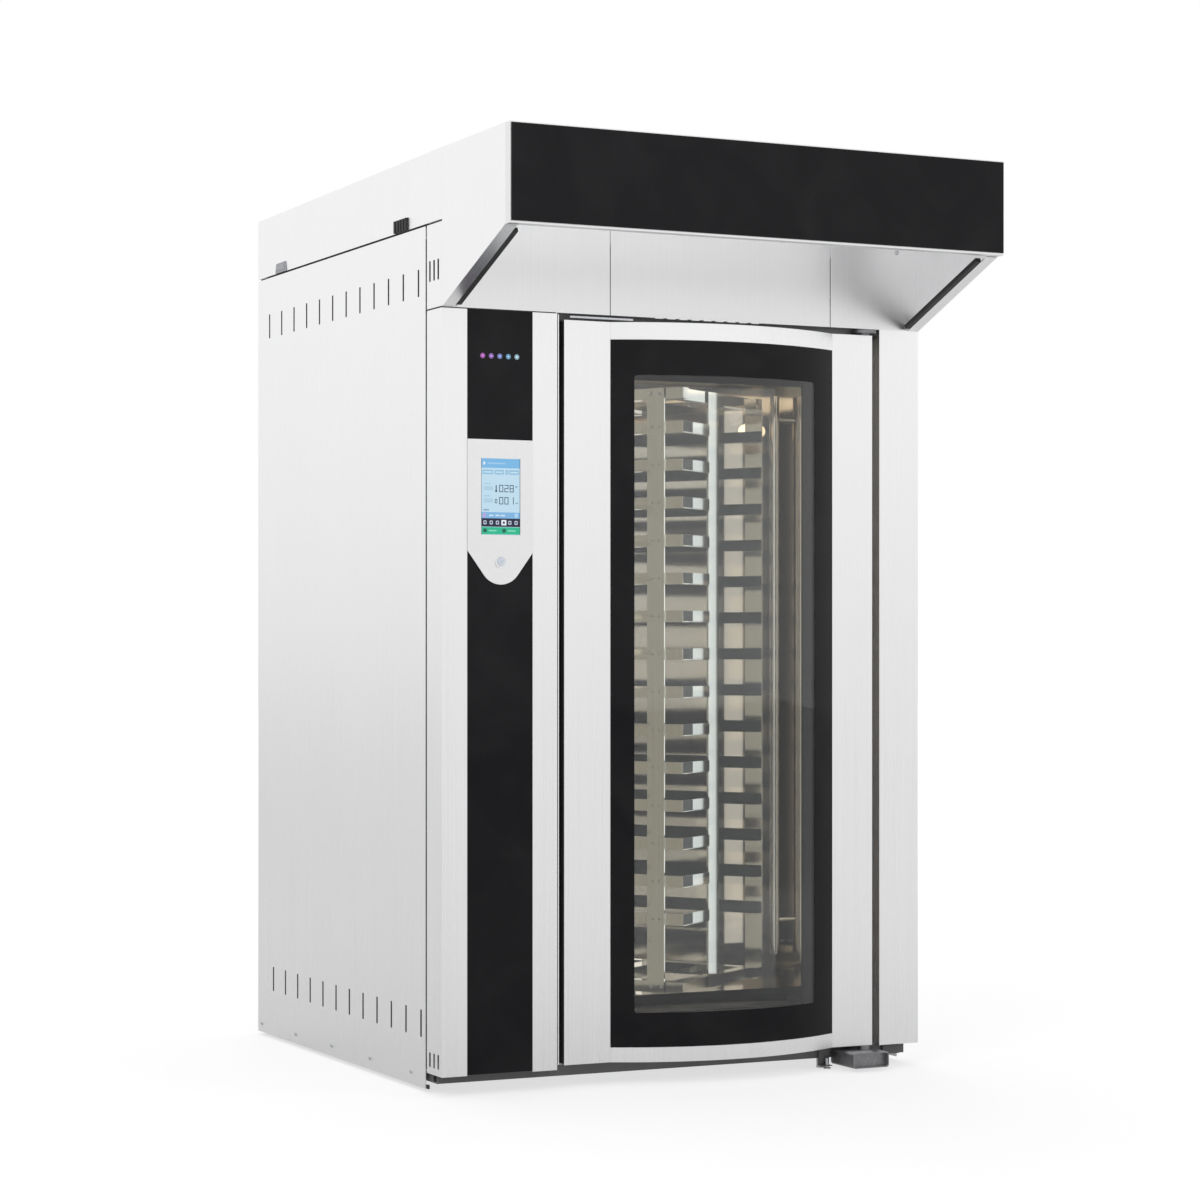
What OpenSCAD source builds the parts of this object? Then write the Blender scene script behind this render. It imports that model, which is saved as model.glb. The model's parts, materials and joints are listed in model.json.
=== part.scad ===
// Rotating rack oven: a glazed curved door, a control column, a steam hood and a
// turning tray rack in an insulated chamber.  Millimetres, +Z up, front towards -Y.
// The origin is on the floor, under the middle of the whole outline.

/* [Overall] */
// Width across the outer side panels
oven_w = 1300; // [1260:1:1400]
// Height from the floor to the top of the hood
oven_h = 2200; // [2190:1:2300]
// Depth of the body, from the front panels to the rear panel
body_d = 1227; // [1200:1:1350]
// How far the hood reaches in front of the front panels
hood_d = 373; // [330:1:420]
// Thickness of the outer and inner sheets
sheet_t = 2; // [1.5:0.1:2.5]

/* [Base] */
// Clear height under the base rails
base_gap = 25; // [20:1:30]
// Height and width of the square base rails
rail_s = 26; // [24:1:30]
// Wall of the base rails
rail_wall = 3; // [2:0.5:4]
// How far the front rail stands back from the front panels
plinth_setback = 50; // [45:1:60]
// Thickness of the floor pan on the rails
pan_t = 3; // [2:0.5:4]
// Radius of a levelling bolt
foot_r = 8; // [6:1:10]
// Radius of a levelling bolt's head
foot_head_r = 12; // [12:0.5:15]
// Distance of the right front levelling bolt from the hinge arm
foot_gap = 22; // [16:1:40]

/* [Body panels] */
// Height of the lower edge of the side panels
side_panel_z = 8; // [5:1:15]
// Height of the lower edge of the front panels
front_panel_z = 47; // [44:1:52]
// Height of the lower edge of the post right of the door
post_panel_z = 55; // [50:1:56]
// Height of the hood, from its lower edge to its top
hood_h = 369; // [355:1:385]
// Height of the crown
crown_h = 166; // [155:1:175]
// How much lower the crown's rear edge is than its front edge
crown_fall = 10; // [0:1:15]
// Width of the dark joint under the crown
joint_gap = 5; // [3:0.5:6]
// Width of the dark upright joint behind the front corners
upright_gap = 8; // [5:0.5:9]
// Depth of the front corners
corner_d = 87; // [80:1:96]
// Width of the folded edges of the side panels
panel_fold = 20; // [15:1:25]
// Side of the square frame posts
post_s = 30; // [26:1:34]
// Spacing of the ventilation slots
slot_pitch = 91.1; // [80:0.1:95]
// Spacing of the lower ventilation slots
slot_low_pitch = 89.8; // [80:0.1:95]
// Length of a ventilation slot
slot_len = 64; // [50:1:75]
// Width of a ventilation slot
slot_w = 9; // [4:0.5:10]
// Distance of the upper slots below the crown
slot_drop = 134; // [115:1:150]
// Height of the middle of the lower slots
slot_low_z = 159; // [140:1:180]
// Thickness of the roof plate
roof_t = 3; // [2:0.5:4]

/* [Control column] */
// Width of the bright strip left of the black glass
left_strip_w = 64; // [58:1:70]
// Width of the black control glass
control_glass_w = 168.5; // [160:0.5:175]
// Width of the bright strip right of the black glass
right_strip_w = 64; // [58:0.5:70]
// Thickness of the control glass
control_glass_t = 5; // [4:0.5:6]
// Height of the push button
button_z = 1243; // [1200:1:1290]
// Distance from the button up to the straight sides of the bezel
bezel_side_rise = 23; // [18:1:30]
// Distance from the top of the screen to the top of the bezel
bezel_head = 44; // [36:1:55]
// Radius of the round lower end of the bezel, about the button
bezel_end_r = 54; // [48:1:60]
// How far the bezel stands in front of the black glass
bezel_t = 5; // [4:0.5:6]
// Width of the touch screen
screen_w = 100; // [90:1:115]
// Height of the touch screen
screen_h = 178; // [160:1:190]
// Distance from the button up to the lower edge of the touch screen
screen_rise = 62; // [55:1:75]
// Radius of the push button's cap
button_r = 10; // [8:0.5:12]
// Travel of the push button
button_travel = 3; // [2:0.5:4]

/* [Door] */
// Width of the gap between the control column and the door
grip_gap = 18.5; // [17:0.5:24]
// Width of the gap between the door and the post right of it
hinge_gap = 21; // [18:1:24]
// Width of the post right of the door
right_post_w = 113; // [105:1:125]
// Gap between the base pan and the lower edge of the door
door_gap_z = 3; // [2:0.5:8]
// Distance of the door's upper edge below the hood
door_top_gap = 16; // [14:1:24]
// Thickness of the door at its stiles
door_t = 70; // [64:1:76]
// Width of the left stile
left_stile_w = 122; // [115:1:130]
// Width of the right stile
right_stile_w = 115; // [110:1:120]
// How far the curved glass bulges in front of the stiles
glass_bulge = 75; // [65:1:85]
// Thickness of the door glasses
glass_t = 6; // [5:0.5:8]
// Height of the bright curved rail under the glass
bottom_rail_h = 35; // [30:1:40]
// Height of the bright curved rail over the glass
top_rail_h = 41; // [30:1:46]
// Width of the liner between the left stile and the window
window_border = 61.5; // [55:0.5:70]
// Width of the liner between the window and the right stile
window_border_right = 51; // [45:0.5:60]
// Height of the lower edge of the window
window_z = 204; // [170:1:215]
// Distance of the window's upper edge below the door's upper edge
window_head = 129; // [105:1:140]
// Width of the door seal
seal_w = 15; // [12:1:18]
// Thickness of the door seal
seal_t = 14.7; // [12:0.1:14.7]
// Distance of the hinge axis from the door's right edge
hinge_inset = 17; // [15:1:18]
// Distance of the hinge axis behind the stile's front face
hinge_depth = 10.5; // [10.5:0.5:14]
// Radius of the hinge pins
hinge_pin_r = 8; // [6:0.5:8]
// Radial play of the hinge pins in the door
hinge_play = 0.05; // [0.03:0.01:0.08]
// Length of a hinge pin inside the door
hinge_pin_len = 30; // [25:1:35]

/* [Hinge arms] */
// Width of the lower hinge arm
arm_w = 102; // [90:1:104]
// Height of the lower hinge arm
arm_h = 38; // [34:1:40]
// How far the lower hinge arm reaches in front of the front panels
arm_reach = 55; // [45:1:65]
// Corner radius of the lower hinge arm
arm_corner = 7; // [5:1:9]
// Thickness of the upper hinge bracket
bracket_t = 8; // [6:0.5:9]
// Width of the upper hinge bracket
bracket_w = 60; // [50:1:70]

/* [Hood] */
// Height of the fascia across the front of the hood
fascia_h = 224; // [205:1:250]
// Depth of the fascia frame
fascia_d = 28; // [22:1:34]
// Thickness of the black fascia glass
fascia_glass_t = 3; // [2:0.5:5]
// Width of the folded edge along the slope of the hood sides
slope_fold = 30; // [24:1:36]
// Width of the rubber strip beside the slope
hood_seal_w = 14; // [10:1:18]
// Distance of the right seam of the hood's rear wall from the right stile
seam_inset = 6; // [3:1:20]
// Width of the seams in the hood's rear wall
seam_gap = 2; // [1:0.5:3]
// Radius of the steam inlet in the hood's rear wall
hood_inlet_r = 38; // [34:1:46]
// Radius of the hood fan wheel
hood_wheel_r = 50; // [44:1:54]
// Outer radius of the hood fan's outlet spigot
hood_spigot_r = 50; // [40:1:55]

/* [Chamber] */
// Distance from the right side panel's face to the chamber
right_wall_w = 125.5; // [118:0.5:135]
// Distance from the left side panel's face to the air duct
left_wall_w = 94.5; // [88:0.5:102]
// Distance from the rear panel's face to the chamber
rear_wall_d = 232; // [220:1:245]
// Height of the chamber floor
chamber_z = 150; // [145:1:155]
// Distance of the chamber ceiling below the hood's lower edge
ceiling_drop = 51; // [40:1:60]
// Distance from the front panels to the front of the chamber's mouth
mouth_setback = 85; // [85:1:88]
// Thickness of the mouth frame
mouth_t = 20; // [16:1:24]
// How far the seal reaches outside the chamber's mouth
mouth_lap = 24.5; // [20:0.5:30]
// Width of the air duct beside the chamber
plenum_w = 225; // [215:1:230]
// Thickness of the insulation beside the chamber
insulation_side_t = 63; // [55:1:64]
// Thickness of the insulation over and behind the chamber
insulation_t = 115; // [100:1:120]
// Spacing of the air slots in the air panel
air_pitch = 94; // [80:1:110]

/* [Rack] */
// Distance between the two side ladders
rack_w = 430; // [400:1:440]
// Room between the turning rack and the chamber's walls
swing_gap = 49.5; // [40:0.5:60]
// Angle of the tray rails at rest, from the depth of the oven
rack_turn = 33; // [0:1:60]
// Height of the underside of the rack over the chamber floor
rack_lift = 34; // [25:1:40]
// Distance of the rack's top below the chamber ceiling
rack_drop = 93; // [70:1:100]
// Spacing of the tray levels
tier_pitch = 94; // [80:1:96]
// Height of the lowest tray level over the rack's underside
tier_lift = 169; // [50:1:180]
// Width of the rack's upright bars
upright_w = 48; // [30:1:52]
// Thickness of the rack's upright bars
upright_t = 5; // [4:0.5:6]
// Width of the stop bar that trays meet at the end of the rails
stop_w = 56; // [30:1:64]
// Distance of the stop bar from the middle, towards the near ladder
stop_shift = 28; // [0:1:40]
// Distance of the near ladder's uprights from the ends of the rails
near_inset = 74; // [60:1:95]
// Height of a tray rail
tray_rail_h = 29; // [26:1:38]
// Width of the ledge that a tray lies on
tray_rail_w = 30; // [24:1:36]
// Thickness of the tray rails
tray_rail_t = 2; // [1.5:0.5:3]
// Height of the rack's cross beams
beam_h = 28; // [10:1:32]
// Width of the rack's cross beams
beam_w = 30; // [26:1:36]
// Radius of the pivot under the rack
pivot_r = 12; // [10:0.5:14]
// Radius of the drive shaft over the rack
shaft_r = 15; // [12:0.5:18]
// Radial play of the shafts in their bearings
shaft_play = 0.05; // [0.03:0.01:0.08]

/* [Drives] */
// Radius of the pulley on the rack's drive shaft
big_pulley_r = 150; // [130:1:160]
// Radius of the pulley on the gearmotor
small_pulley_r = 45; // [40:1:55]
// Distance between the two pulleys
belt_centres = 290; // [270:1:310]
// Width of the belt
belt_w = 20; // [16:1:24]
// Thickness of the belt
belt_t = 5; // [4:0.5:7]
// Radius of the circulating fan's wheel
fan_r = 95; // [85:1:100]
// Height of the circulating fan's wheel
fan_h = 80; // [60:1:90]
// Number of blades on a fan wheel
blade_count = 10; // [6:1:12]
// Radius of the circulating fan's motor
fan_motor_r = 80; // [70:1:85]
// Height of the circulating fan's motor
fan_motor_h = 130; // [110:1:135]
// Half the width of the gearmotor's gear case
gear_half = 55; // [48:1:58]
// Radius of the gearmotor's motor
gear_motor_r = 46; // [40:1:50]
// Length of the gearmotor's motor
gear_motor_len = 150; // [120:1:180]
// Number of heating elements in the air duct
element_count = 6; // [4:1:7]

/* [Ducts and pipes] */
// Distance of the vent duct's axis from the chamber's right wall
vent_side_gap = 194.5; // [170:0.5:220]
// Distance of the vent duct's axis from the chamber's rear wall
vent_back_gap = 88; // [82:1:110]
// Bore radius of the vent duct
vent_r = 73; // [65:1:74]
// Wall of the vent duct below its spigot
vent_wall = 4; // [4:0.5:6]
// Wall of the vent duct's spigot
spigot_wall = 2; // [1.5:0.5:3]
// Length of the vent duct's spigot
spigot_len = 80; // [60:1:90]
// Radius of the steam pipe in the chamber
steam_pipe_r = 12.5; // [10:0.5:14]
// Distance of the steam pipe's axis from the right wall
pipe_gap = 35; // [30:1:36]
// Radius of the water inlet nipple
water_r = 13.2; // [10:0.1:15]
// Bore radius of the cable gland
cable_r = 12; // [8:0.5:14]

/* [Hidden] */
$fn = 64;

// Clearances: between neighbouring sheets, a moving and a still piece, a part and its seat
sheet_clear = 0.2;
move_clear = 0.3;
cut = 1;

// Outline of the oven
half_w = oven_w / 2;
skin_x = half_w - sheet_t;
back_y = (body_d + hood_d) / 2;
front_y = back_y - body_d;
front_top_z = oven_h - hood_h;
crown_z = oven_h - crown_h;
hood_y = front_y - hood_d;

// Base
rail_z = base_gap;
rail_top_z = rail_z + rail_s;
pan_top_z = rail_top_z + pan_t;
door_z = pan_top_z + door_gap_z;
rail_front_y = front_y + plinth_setback;
base_half_w = skin_x - 8;
base_back_y = back_y - sheet_t - 8;
foot_head_h = 8;
foot_nut_h = base_gap - foot_head_h;
foot_len = rail_top_z - rail_wall - 4;
foot_hole_r = foot_r + sheet_clear;
foot_inset = 44;
front_foot_inset = 108;
cross_front_y = front_y + 240;
cross_rear_y = back_y - 460;

// Body and crown
strip_back_y = front_y + corner_d;
panel_front_y = strip_back_y + upright_gap;
body_top_z = crown_z - joint_gap;
roof_drop = 29;
post_top_z = body_top_z - roof_drop;
roof_top_z = post_top_z + roof_t;
corner_slot_len = 48;
corner_slot_pitch = 24;
corner_slot_count = 3;
corner_slot_x = 21.5;
corner_slot_high_z = crown_z - 114;
corner_slot_low_z = 80;
first_slot_y = panel_front_y + 42;
last_slot_gap = 70;
slot_count = floor((back_y - last_slot_gap - first_slot_y) / slot_pitch) + 1;
slot_high_z = crown_z - slot_drop;
first_low_y = panel_front_y + 27;
low_count = floor((back_y - last_slot_gap - first_low_y) / slot_low_pitch) + 1;
crown_fold = 30;
crown_end = 60;
rim_fold = 20;
crown_rail_inset = 10;

// Mouth of the chamber
mouth_front_y = front_y + mouth_setback;
mouth_back_y = mouth_front_y + mouth_t;

// Control column
column_x = -half_w;
glass_left_x = column_x + left_strip_w;
glass_right_x = glass_left_x + control_glass_w;
column_right_x = glass_right_x + right_strip_w;
control_x = (glass_left_x + glass_right_x) / 2;
bezel_side_z = button_z + bezel_side_rise;
screen_z = button_z + screen_rise;
bezel_top_z = screen_z + screen_h + bezel_head;
control_glass_y = front_y + 1;
control_plate_y = control_glass_y + control_glass_t;
control_plate_t = 2;
bezel_y = control_glass_y - bezel_t;
bezel_w = control_glass_w - 2 * sheet_clear;
glass_overlap = 8;
housing_r = button_r + 3;
housing_ring_r = button_r + 5;
housing_ring_t = 3;
housing_front_y = bezel_y - housing_ring_t;
housing_back_y = control_plate_y + 24;
button_bore_r = button_r + move_clear;
stem_r = 4;
stem_play = 0.06;
electrics_z = 600;
electrics_h = 550;
electrics_gap = 40;

// Door
door_left_x = column_right_x + grip_gap;
door_right_x = half_w - right_post_w - hinge_gap;
door_w = door_right_x - door_left_x;
door_top_z = front_top_z - door_top_gap;
door_back_y = front_y + door_t;
liner_y = door_back_y - sheet_t;
stile_in_left_x = door_left_x + left_stile_w;
stile_in_right_x = door_right_x - right_stile_w;
chord = stile_in_right_x - stile_in_left_x;
glass_mid_x = (stile_in_left_x + stile_in_right_x) / 2;
bulge_r = chord * chord / (8 * glass_bulge) + glass_bulge / 2;
bulge_y = front_y - glass_bulge + bulge_r;
window_left_x = stile_in_left_x + window_border;
window_right_x = stile_in_right_x - window_border_right;
window_top_z = door_top_z - window_head;
hinge_x = door_right_x - hinge_inset;
hinge_y = front_y + hinge_depth;
hinge_bore_r = hinge_pin_r + hinge_play;
stile_cap_h = hinge_pin_len + 10;
post_left_x = door_right_x + hinge_gap;
seal_outer_x = hinge_x - 3;
seal_left_x = door_left_x + 12;
seal_low_z = door_z + 30;
seal_top_z = door_top_z - 30;
seal_y = mouth_front_y - move_clear;

// Hinge arms
arm_right_x = hinge_x + 31;
arm_left_x = arm_right_x - arm_w;
arm_z = rail_z - 16;
arm_top_z = arm_z + arm_h;
arm_front_y = front_y - arm_reach;
collar_r = 14;
bracket_z = door_top_z + 5;
foot_right_x = arm_left_x - foot_gap;

// Chamber
chamber_top_z = front_top_z - ceiling_drop;
mouth_left_x = seal_left_x + mouth_lap;
mouth_right_x = seal_outer_x - mouth_lap;
mouth_out_left_x = column_right_x - 24;
mouth_out_right_x = post_left_x + 24;
mouth_z = chamber_z + 8;
mouth_top_z = chamber_top_z - 8;
plenum_x = -half_w + left_wall_w;
chamber_left_x = plenum_x + plenum_w;
chamber_right_x = half_w - right_wall_w;
chamber_w = chamber_right_x - chamber_left_x;
chamber_back_y = back_y - rear_wall_d;
chamber_d = chamber_back_y - mouth_back_y;
insulation_top_z = chamber_top_z + sheet_t + insulation_t;

// Rack, turning about the middle of the chamber
rack_x = (chamber_left_x + chamber_right_x) / 2;
rack_y = (mouth_back_y + chamber_back_y) / 2;
half_rack = rack_w / 2;
swing_r = min(chamber_w, chamber_d) / 2 - swing_gap;
half_len = sqrt(swing_r * swing_r - pow(half_rack + beam_w / 2, 2));
rack_len = 2 * half_len;
near_upright_x = half_len - near_inset;
stop_x = half_len - beam_w / 2;
rack_z = chamber_z + rack_lift;
rack_top_z = chamber_top_z - rack_drop;
tier_z = rack_z + tier_lift;
tier_count = floor((rack_top_z - beam_h - tray_rail_h - tier_z) / tier_pitch) + 1;
pivot_len = 46;
bearing_top_z = rack_z - 16;
hub_r = 40;

// Drives
roof_bearing_h = 38;
roof_bearing_r = 46;
pulley_z = roof_top_z + 107;
pulley_h = belt_w + 6;
shaft_top_z = pulley_z + pulley_h + 12;
motor_x = rack_x + belt_centres;
motor_shaft_r = 12;
fan_x = (plenum_x + chamber_left_x) / 2;
fan_y = rack_y;
fan_z = chamber_top_z - fan_h - 40;
fan_shaft_r = 10;
fan_plate_h = 12;
fan_motor_z = roof_top_z + fan_plate_h;
hood_fan_x = glass_mid_x;
hood_fan_z = roof_top_z + 74;
hood_fan_w = 150;
hood_fan_d = 110;
hood_fan_h = 147;
hood_fan_y = front_y + sheet_t;

// Vent duct
vent_x = chamber_right_x - vent_side_gap;
vent_y = chamber_back_y - vent_back_gap;
damper_z = roof_top_z + 80;
damper_shaft_r = 5;
damper_t = 3;

// ---- helpers -------------------------------------------------------------

// A box between two corners
module span(low, high) {
    translate(low) cube(high - low);
}

// An upright cylinder between two heights
module rod(x, y, low, high, r) {
    translate([x, y, low]) cylinder(r = r, h = high - low);
}

// An upright tube between two heights
module tube(x, y, low, high, outer, bore) {
    difference() {
        rod(x, y, low, high, outer);
        rod(x, y, low - cut, high + cut, bore);
    }
}

// A cylinder lying along Y, from one depth to another
module y_rod(x, z, near, far, r) {
    translate([x, near, z]) rotate([-90, 0, 0]) cylinder(r = r, h = far - near);
}

// A cylinder lying along X, from one side to another
module x_rod(y, z, left, right, r) {
    translate([left, y, z]) rotate([0, 90, 0]) cylinder(r = r, h = right - left);
}

// A square tube that lies along X
module rail_along_x(left, right, y, z) {
    difference() {
        span([left, y, z], [right, y + rail_s, z + rail_s]);
        span([left - cut, y + rail_wall, z + rail_wall],
            [right + cut, y + rail_s - rail_wall, z + rail_s - rail_wall]);
    }
}

// A square tube that lies along Y
module rail_along_y(x, near, far, z) {
    difference() {
        span([x, near, z], [x + rail_s, far, z + rail_s]);
        span([x + rail_wall, near - cut, z + rail_wall],
            [x + rail_s - rail_wall, far + cut, z + rail_s - rail_wall]);
    }
}

// The same piece on the left and, mirrored, on the right
module both_sides() {
    children();
    mirror([1, 0, 0]) children();
}

// The turning pieces, drawn with X along the tray rails
module in_rack() {
    translate([rack_x, rack_y, 0]) rotate([0, 0, rack_turn - 90]) children();
}

// ---- base ----------------------------------------------------------------

feet_places = [
    [-base_half_w + front_foot_inset, cross_front_y + rail_s / 2],
    [foot_right_x, rail_front_y + rail_s / 2],
    [base_half_w - front_foot_inset, cross_front_y + rail_s / 2],
    [-base_half_w + foot_inset, base_back_y - rail_s / 2],
    [base_half_w - foot_inset, base_back_y - rail_s / 2]];

module foot() {
    cylinder(r = foot_head_r, h = foot_head_h, $fn = 6);
    cylinder(r = foot_r, h = foot_len);
    translate([0, 0, foot_head_h]) cylinder(r = foot_head_r, h = foot_nut_h, $fn = 6);
}

module levelling_feet() {
    color("dimgray") for (p = feet_places) translate([p[0], p[1], 0]) foot();
}

module foot_holes() {
    for (p = feet_places) rod(p[0], p[1], rail_z - cut, rail_z + rail_wall + cut, foot_hole_r);
}

module base_rails() {
    side_near = rail_front_y + rail_s + sheet_clear;
    side_far = base_back_y - rail_s - sheet_clear;
    cross_reach = base_half_w - rail_s - sheet_clear;
    color("dimgray") difference() {
        union() {
            rail_along_x(-base_half_w, base_half_w, rail_front_y, rail_z);
            rail_along_x(-base_half_w, base_half_w, base_back_y - rail_s, rail_z);
            both_sides() rail_along_y(-base_half_w, side_near, side_far, rail_z);
            for (y = [cross_front_y, cross_rear_y])
                rail_along_x(-cross_reach, cross_reach, y, rail_z);
        }
        foot_holes();
    }
}

module base_pan() {
    color("darkgray") span([-skin_x, rail_front_y, rail_top_z], [skin_x, base_back_y, pan_top_z]);
}

module frame_posts() {
    color("silver") both_sides() {
        for (y = [strip_back_y - post_s, base_back_y - post_s])
            difference() {
                span([-skin_x, y, pan_top_z], [-skin_x + post_s, y + post_s, post_top_z]);
                span([-skin_x + sheet_t, y + sheet_t, pan_top_z - cut],
                    [-skin_x + post_s - sheet_t, y + post_s - sheet_t, post_top_z + cut]);
            }
    }
}

// ---- outer panels --------------------------------------------------------

// A row of upright slots through a left side panel, counted along Y
module side_slots(first_y, pitch, count, z, length) {
    for (i = [0 : count - 1]) {
        y = first_y + i * pitch;
        span([-half_w - cut, y - slot_w / 2, z - length / 2],
            [-skin_x + cut, y + slot_w / 2, z + length / 2]);
    }
}

module side_panel() {
    fold_low = pan_top_z + sheet_clear;
    fold_high = post_top_z - sheet_clear;
    difference() {
        union() {
            span([-half_w, panel_front_y, side_panel_z], [-skin_x, back_y, body_top_z]);
            span([-half_w, panel_front_y, fold_low],
                [-half_w + panel_fold, panel_front_y + sheet_t, fold_high]);
            span([-half_w, back_y - 2 * sheet_t, fold_low],
                [-half_w + panel_fold, back_y - sheet_t, fold_high]);
        }
        side_slots(first_slot_y, slot_pitch, slot_count, slot_high_z, slot_len);
        side_slots(first_low_y, slot_low_pitch, low_count, slot_low_z, slot_len);
    }
}

module left_side_panel() {
    color("gainsboro") side_panel();
}

module right_side_panel() {
    color("gainsboro") mirror([1, 0, 0]) side_panel();
}

module rear_panel() {
    color("gainsboro")
        span([-skin_x, back_y - sheet_t, side_panel_z], [skin_x, back_y, body_top_z]);
}

module corner_panels() {
    color("gainsboro") both_sides() difference() {
        span([-half_w, front_y + sheet_clear, front_top_z + sheet_t],
            [-skin_x, strip_back_y, body_top_z]);
        side_slots(front_y + corner_slot_x, corner_slot_pitch, corner_slot_count,
            corner_slot_high_z, corner_slot_len);
    }
}

// The roof plate, with rails round it that carry the crown
module oven_roof() {
    rail_x = skin_x - crown_rail_inset;
    color("silver") {
        difference() {
            span([-skin_x, front_y + sheet_t, post_top_z],
                [skin_x, back_y - sheet_t - sheet_clear, roof_top_z]);
            rod(rack_x, rack_y, post_top_z - cut, roof_top_z + cut, shaft_r + 3);
            rod(fan_x, fan_y, post_top_z - cut, roof_top_z + cut, fan_shaft_r + 3);
            rod(vent_x, vent_y, post_top_z - cut, roof_top_z + cut, vent_r + vent_wall + sheet_clear);
            rod(water_place[0], water_place[1], post_top_z - cut, roof_top_z + cut, water_r - 4);
            rod(cable_place[0], cable_place[1], post_top_z - cut, roof_top_z + cut, cable_r + 1);
        }
        both_sides() span([-rail_x, strip_back_y, roof_top_z + sheet_clear],
            [-rail_x + crown_fold, back_y - crown_end, crown_z]);
        span([-rail_x, back_y - sheet_t - crown_rail_inset - crown_fold, roof_top_z + sheet_clear],
            [rail_x, back_y - sheet_t - crown_rail_inset, crown_z]);
    }
}

// Crown: two sides and a rear, each with a foot fold below and a rim fold above
function crown_top(y) = oven_h - crown_fall * (y - front_y) / body_d;

// A sheet in a plane of constant X, drawn from (y, z) points
module side_sheet(left, right, points) {
    translate([left, 0, 0]) rotate([90, 0, 90]) linear_extrude(right - left) polygon(points);
}

module crown_side() {
    near = front_y + sheet_clear;
    rim = front_y + sheet_t + sheet_clear;
    side_sheet(-half_w, -skin_x, [[near, crown_z], [back_y, crown_z],
        [back_y, crown_top(back_y)], [near, crown_top(near)]]);
    span([-half_w, strip_back_y, crown_z],
        [-half_w + crown_fold, back_y - crown_end, crown_z + sheet_t]);
    side_sheet(-half_w, -half_w + rim_fold, [[rim, crown_top(rim) - sheet_t],
        [back_y, crown_top(back_y) - sheet_t], [back_y, crown_top(back_y)], [rim, crown_top(rim)]]);
}

module crown_panels() {
    inner = half_w - rim_fold - sheet_clear;
    rear_top = crown_top(back_y) - sheet_t - sheet_clear;
    color("gainsboro") {
        both_sides() crown_side();
        span([-skin_x + sheet_clear, back_y - sheet_t, crown_z],
            [skin_x - sheet_clear, back_y, rear_top]);
        span([-inner, back_y - crown_fold, crown_z], [inner, back_y, crown_z + sheet_t]);
        span([-inner, back_y - rim_fold, rear_top - sheet_t], [inner, back_y, rear_top]);
    }
}

// Water nipple and cable gland that stand on the roof
service_gap = 160;
water_place = [-half_w + 130, back_y - service_gap];
cable_place = [-half_w + 250, back_y - service_gap];
nipple_len = 30;
gland_len = 34;

module service_connections() {
    flange_h = 8;
    color("gold") difference() {
        union() {
            rod(water_place[0], water_place[1], roof_top_z, roof_top_z + flange_h, water_r + 9);
            rod(water_place[0], water_place[1], roof_top_z, roof_top_z + flange_h + nipple_len,
                water_r);
        }
        rod(water_place[0], water_place[1], roof_top_z - cut, roof_top_z + flange_h + nipple_len + cut,
            water_r - 4);
    }
    color("gray") tube(cable_place[0], cable_place[1], roof_top_z,
        roof_top_z + gland_len, cable_r + 6, cable_r);
}

// ---- control column ------------------------------------------------------

module left_strip() {
    difference() {
        union() {
            span([-half_w, front_y, front_panel_z], [glass_left_x, front_y + sheet_t, front_top_z]);
            span([-half_w, front_y, front_panel_z], [-skin_x, strip_back_y, front_top_z]);
            span([glass_left_x - sheet_t, front_y, front_panel_z],
                [glass_left_x, control_plate_y, front_top_z]);
        }
        side_slots(front_y + corner_slot_x, corner_slot_pitch, corner_slot_count,
            corner_slot_low_z, corner_slot_len * 0.7);
    }
}

// A sheet that runs back from a front panel to the mouth frame, over the base rail
module return_sheet(left, low) {
    span([left, front_y, low],
        [left + sheet_t, rail_front_y - sheet_clear, front_top_z]);
    span([left, front_y, pan_top_z], [left + sheet_t, mouth_front_y, front_top_z]);
}

module right_strip() {
    span([glass_right_x, front_y, front_panel_z], [column_right_x, front_y + sheet_t, front_top_z]);
    span([glass_right_x, front_y, front_panel_z],
        [glass_right_x + sheet_t, control_plate_y, front_top_z]);
    return_sheet(column_right_x - sheet_t, front_panel_z);
}

module control_strips() {
    color("whitesmoke") {
        left_strip();
        right_strip();
    }
}

module control_mount_plate() {
    color("silver") difference() {
        span([-skin_x, control_plate_y, front_panel_z + 2],
            [column_right_x - sheet_t, control_plate_y + control_plate_t, front_top_z - 2]);
        y_rod(control_x, button_z, control_plate_y - cut,
            control_plate_y + control_plate_t + cut, housing_r + sheet_clear);
    }
}

module control_glass() {
    left = glass_left_x + sheet_clear;
    right = glass_right_x - sheet_clear;
    color([0.05, 0.05, 0.06]) {
        span([left, control_glass_y, bezel_top_z - glass_overlap],
            [right, control_plate_y, front_top_z - 2]);
        difference() {
            span([left, control_glass_y, front_panel_z + 2],
                [right, control_plate_y, bezel_side_z + 3 * glass_overlap]);
            y_rod(control_x, button_z, control_glass_y - cut, control_plate_y + cut,
                housing_r + sheet_clear);
        }
    }
}

// Bezel outline: straight sides, then two lines that touch a circle about the button
module bezel_outline() {
    side = bezel_w / 2;
    drop = bezel_side_z - button_z;
    far = sqrt(side * side + drop * drop);
    turn = atan2(drop, side) - acos(bezel_end_r / far);
    touch = [bezel_end_r * cos(turn), bezel_end_r * sin(turn)];
    top = bezel_top_z - button_z;
    polygon([[-side, top], [-side, drop], [-touch[0], touch[1]],
        [0, 0], touch, [side, drop], [side, top]]);
    circle(r = bezel_end_r);
}

module control_bezel() {
    color("lightgray") difference() {
        translate([control_x, control_glass_y, button_z]) rotate([90, 0, 0])
            linear_extrude(bezel_t) bezel_outline();
        span([control_x - screen_w / 2 - sheet_clear, bezel_y - cut, screen_z - sheet_clear],
            [control_x + screen_w / 2 + sheet_clear, control_glass_y + cut,
                screen_z + screen_h + sheet_clear]);
        y_rod(control_x, button_z, bezel_y - cut, control_glass_y + cut, housing_r + sheet_clear);
    }
}

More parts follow.
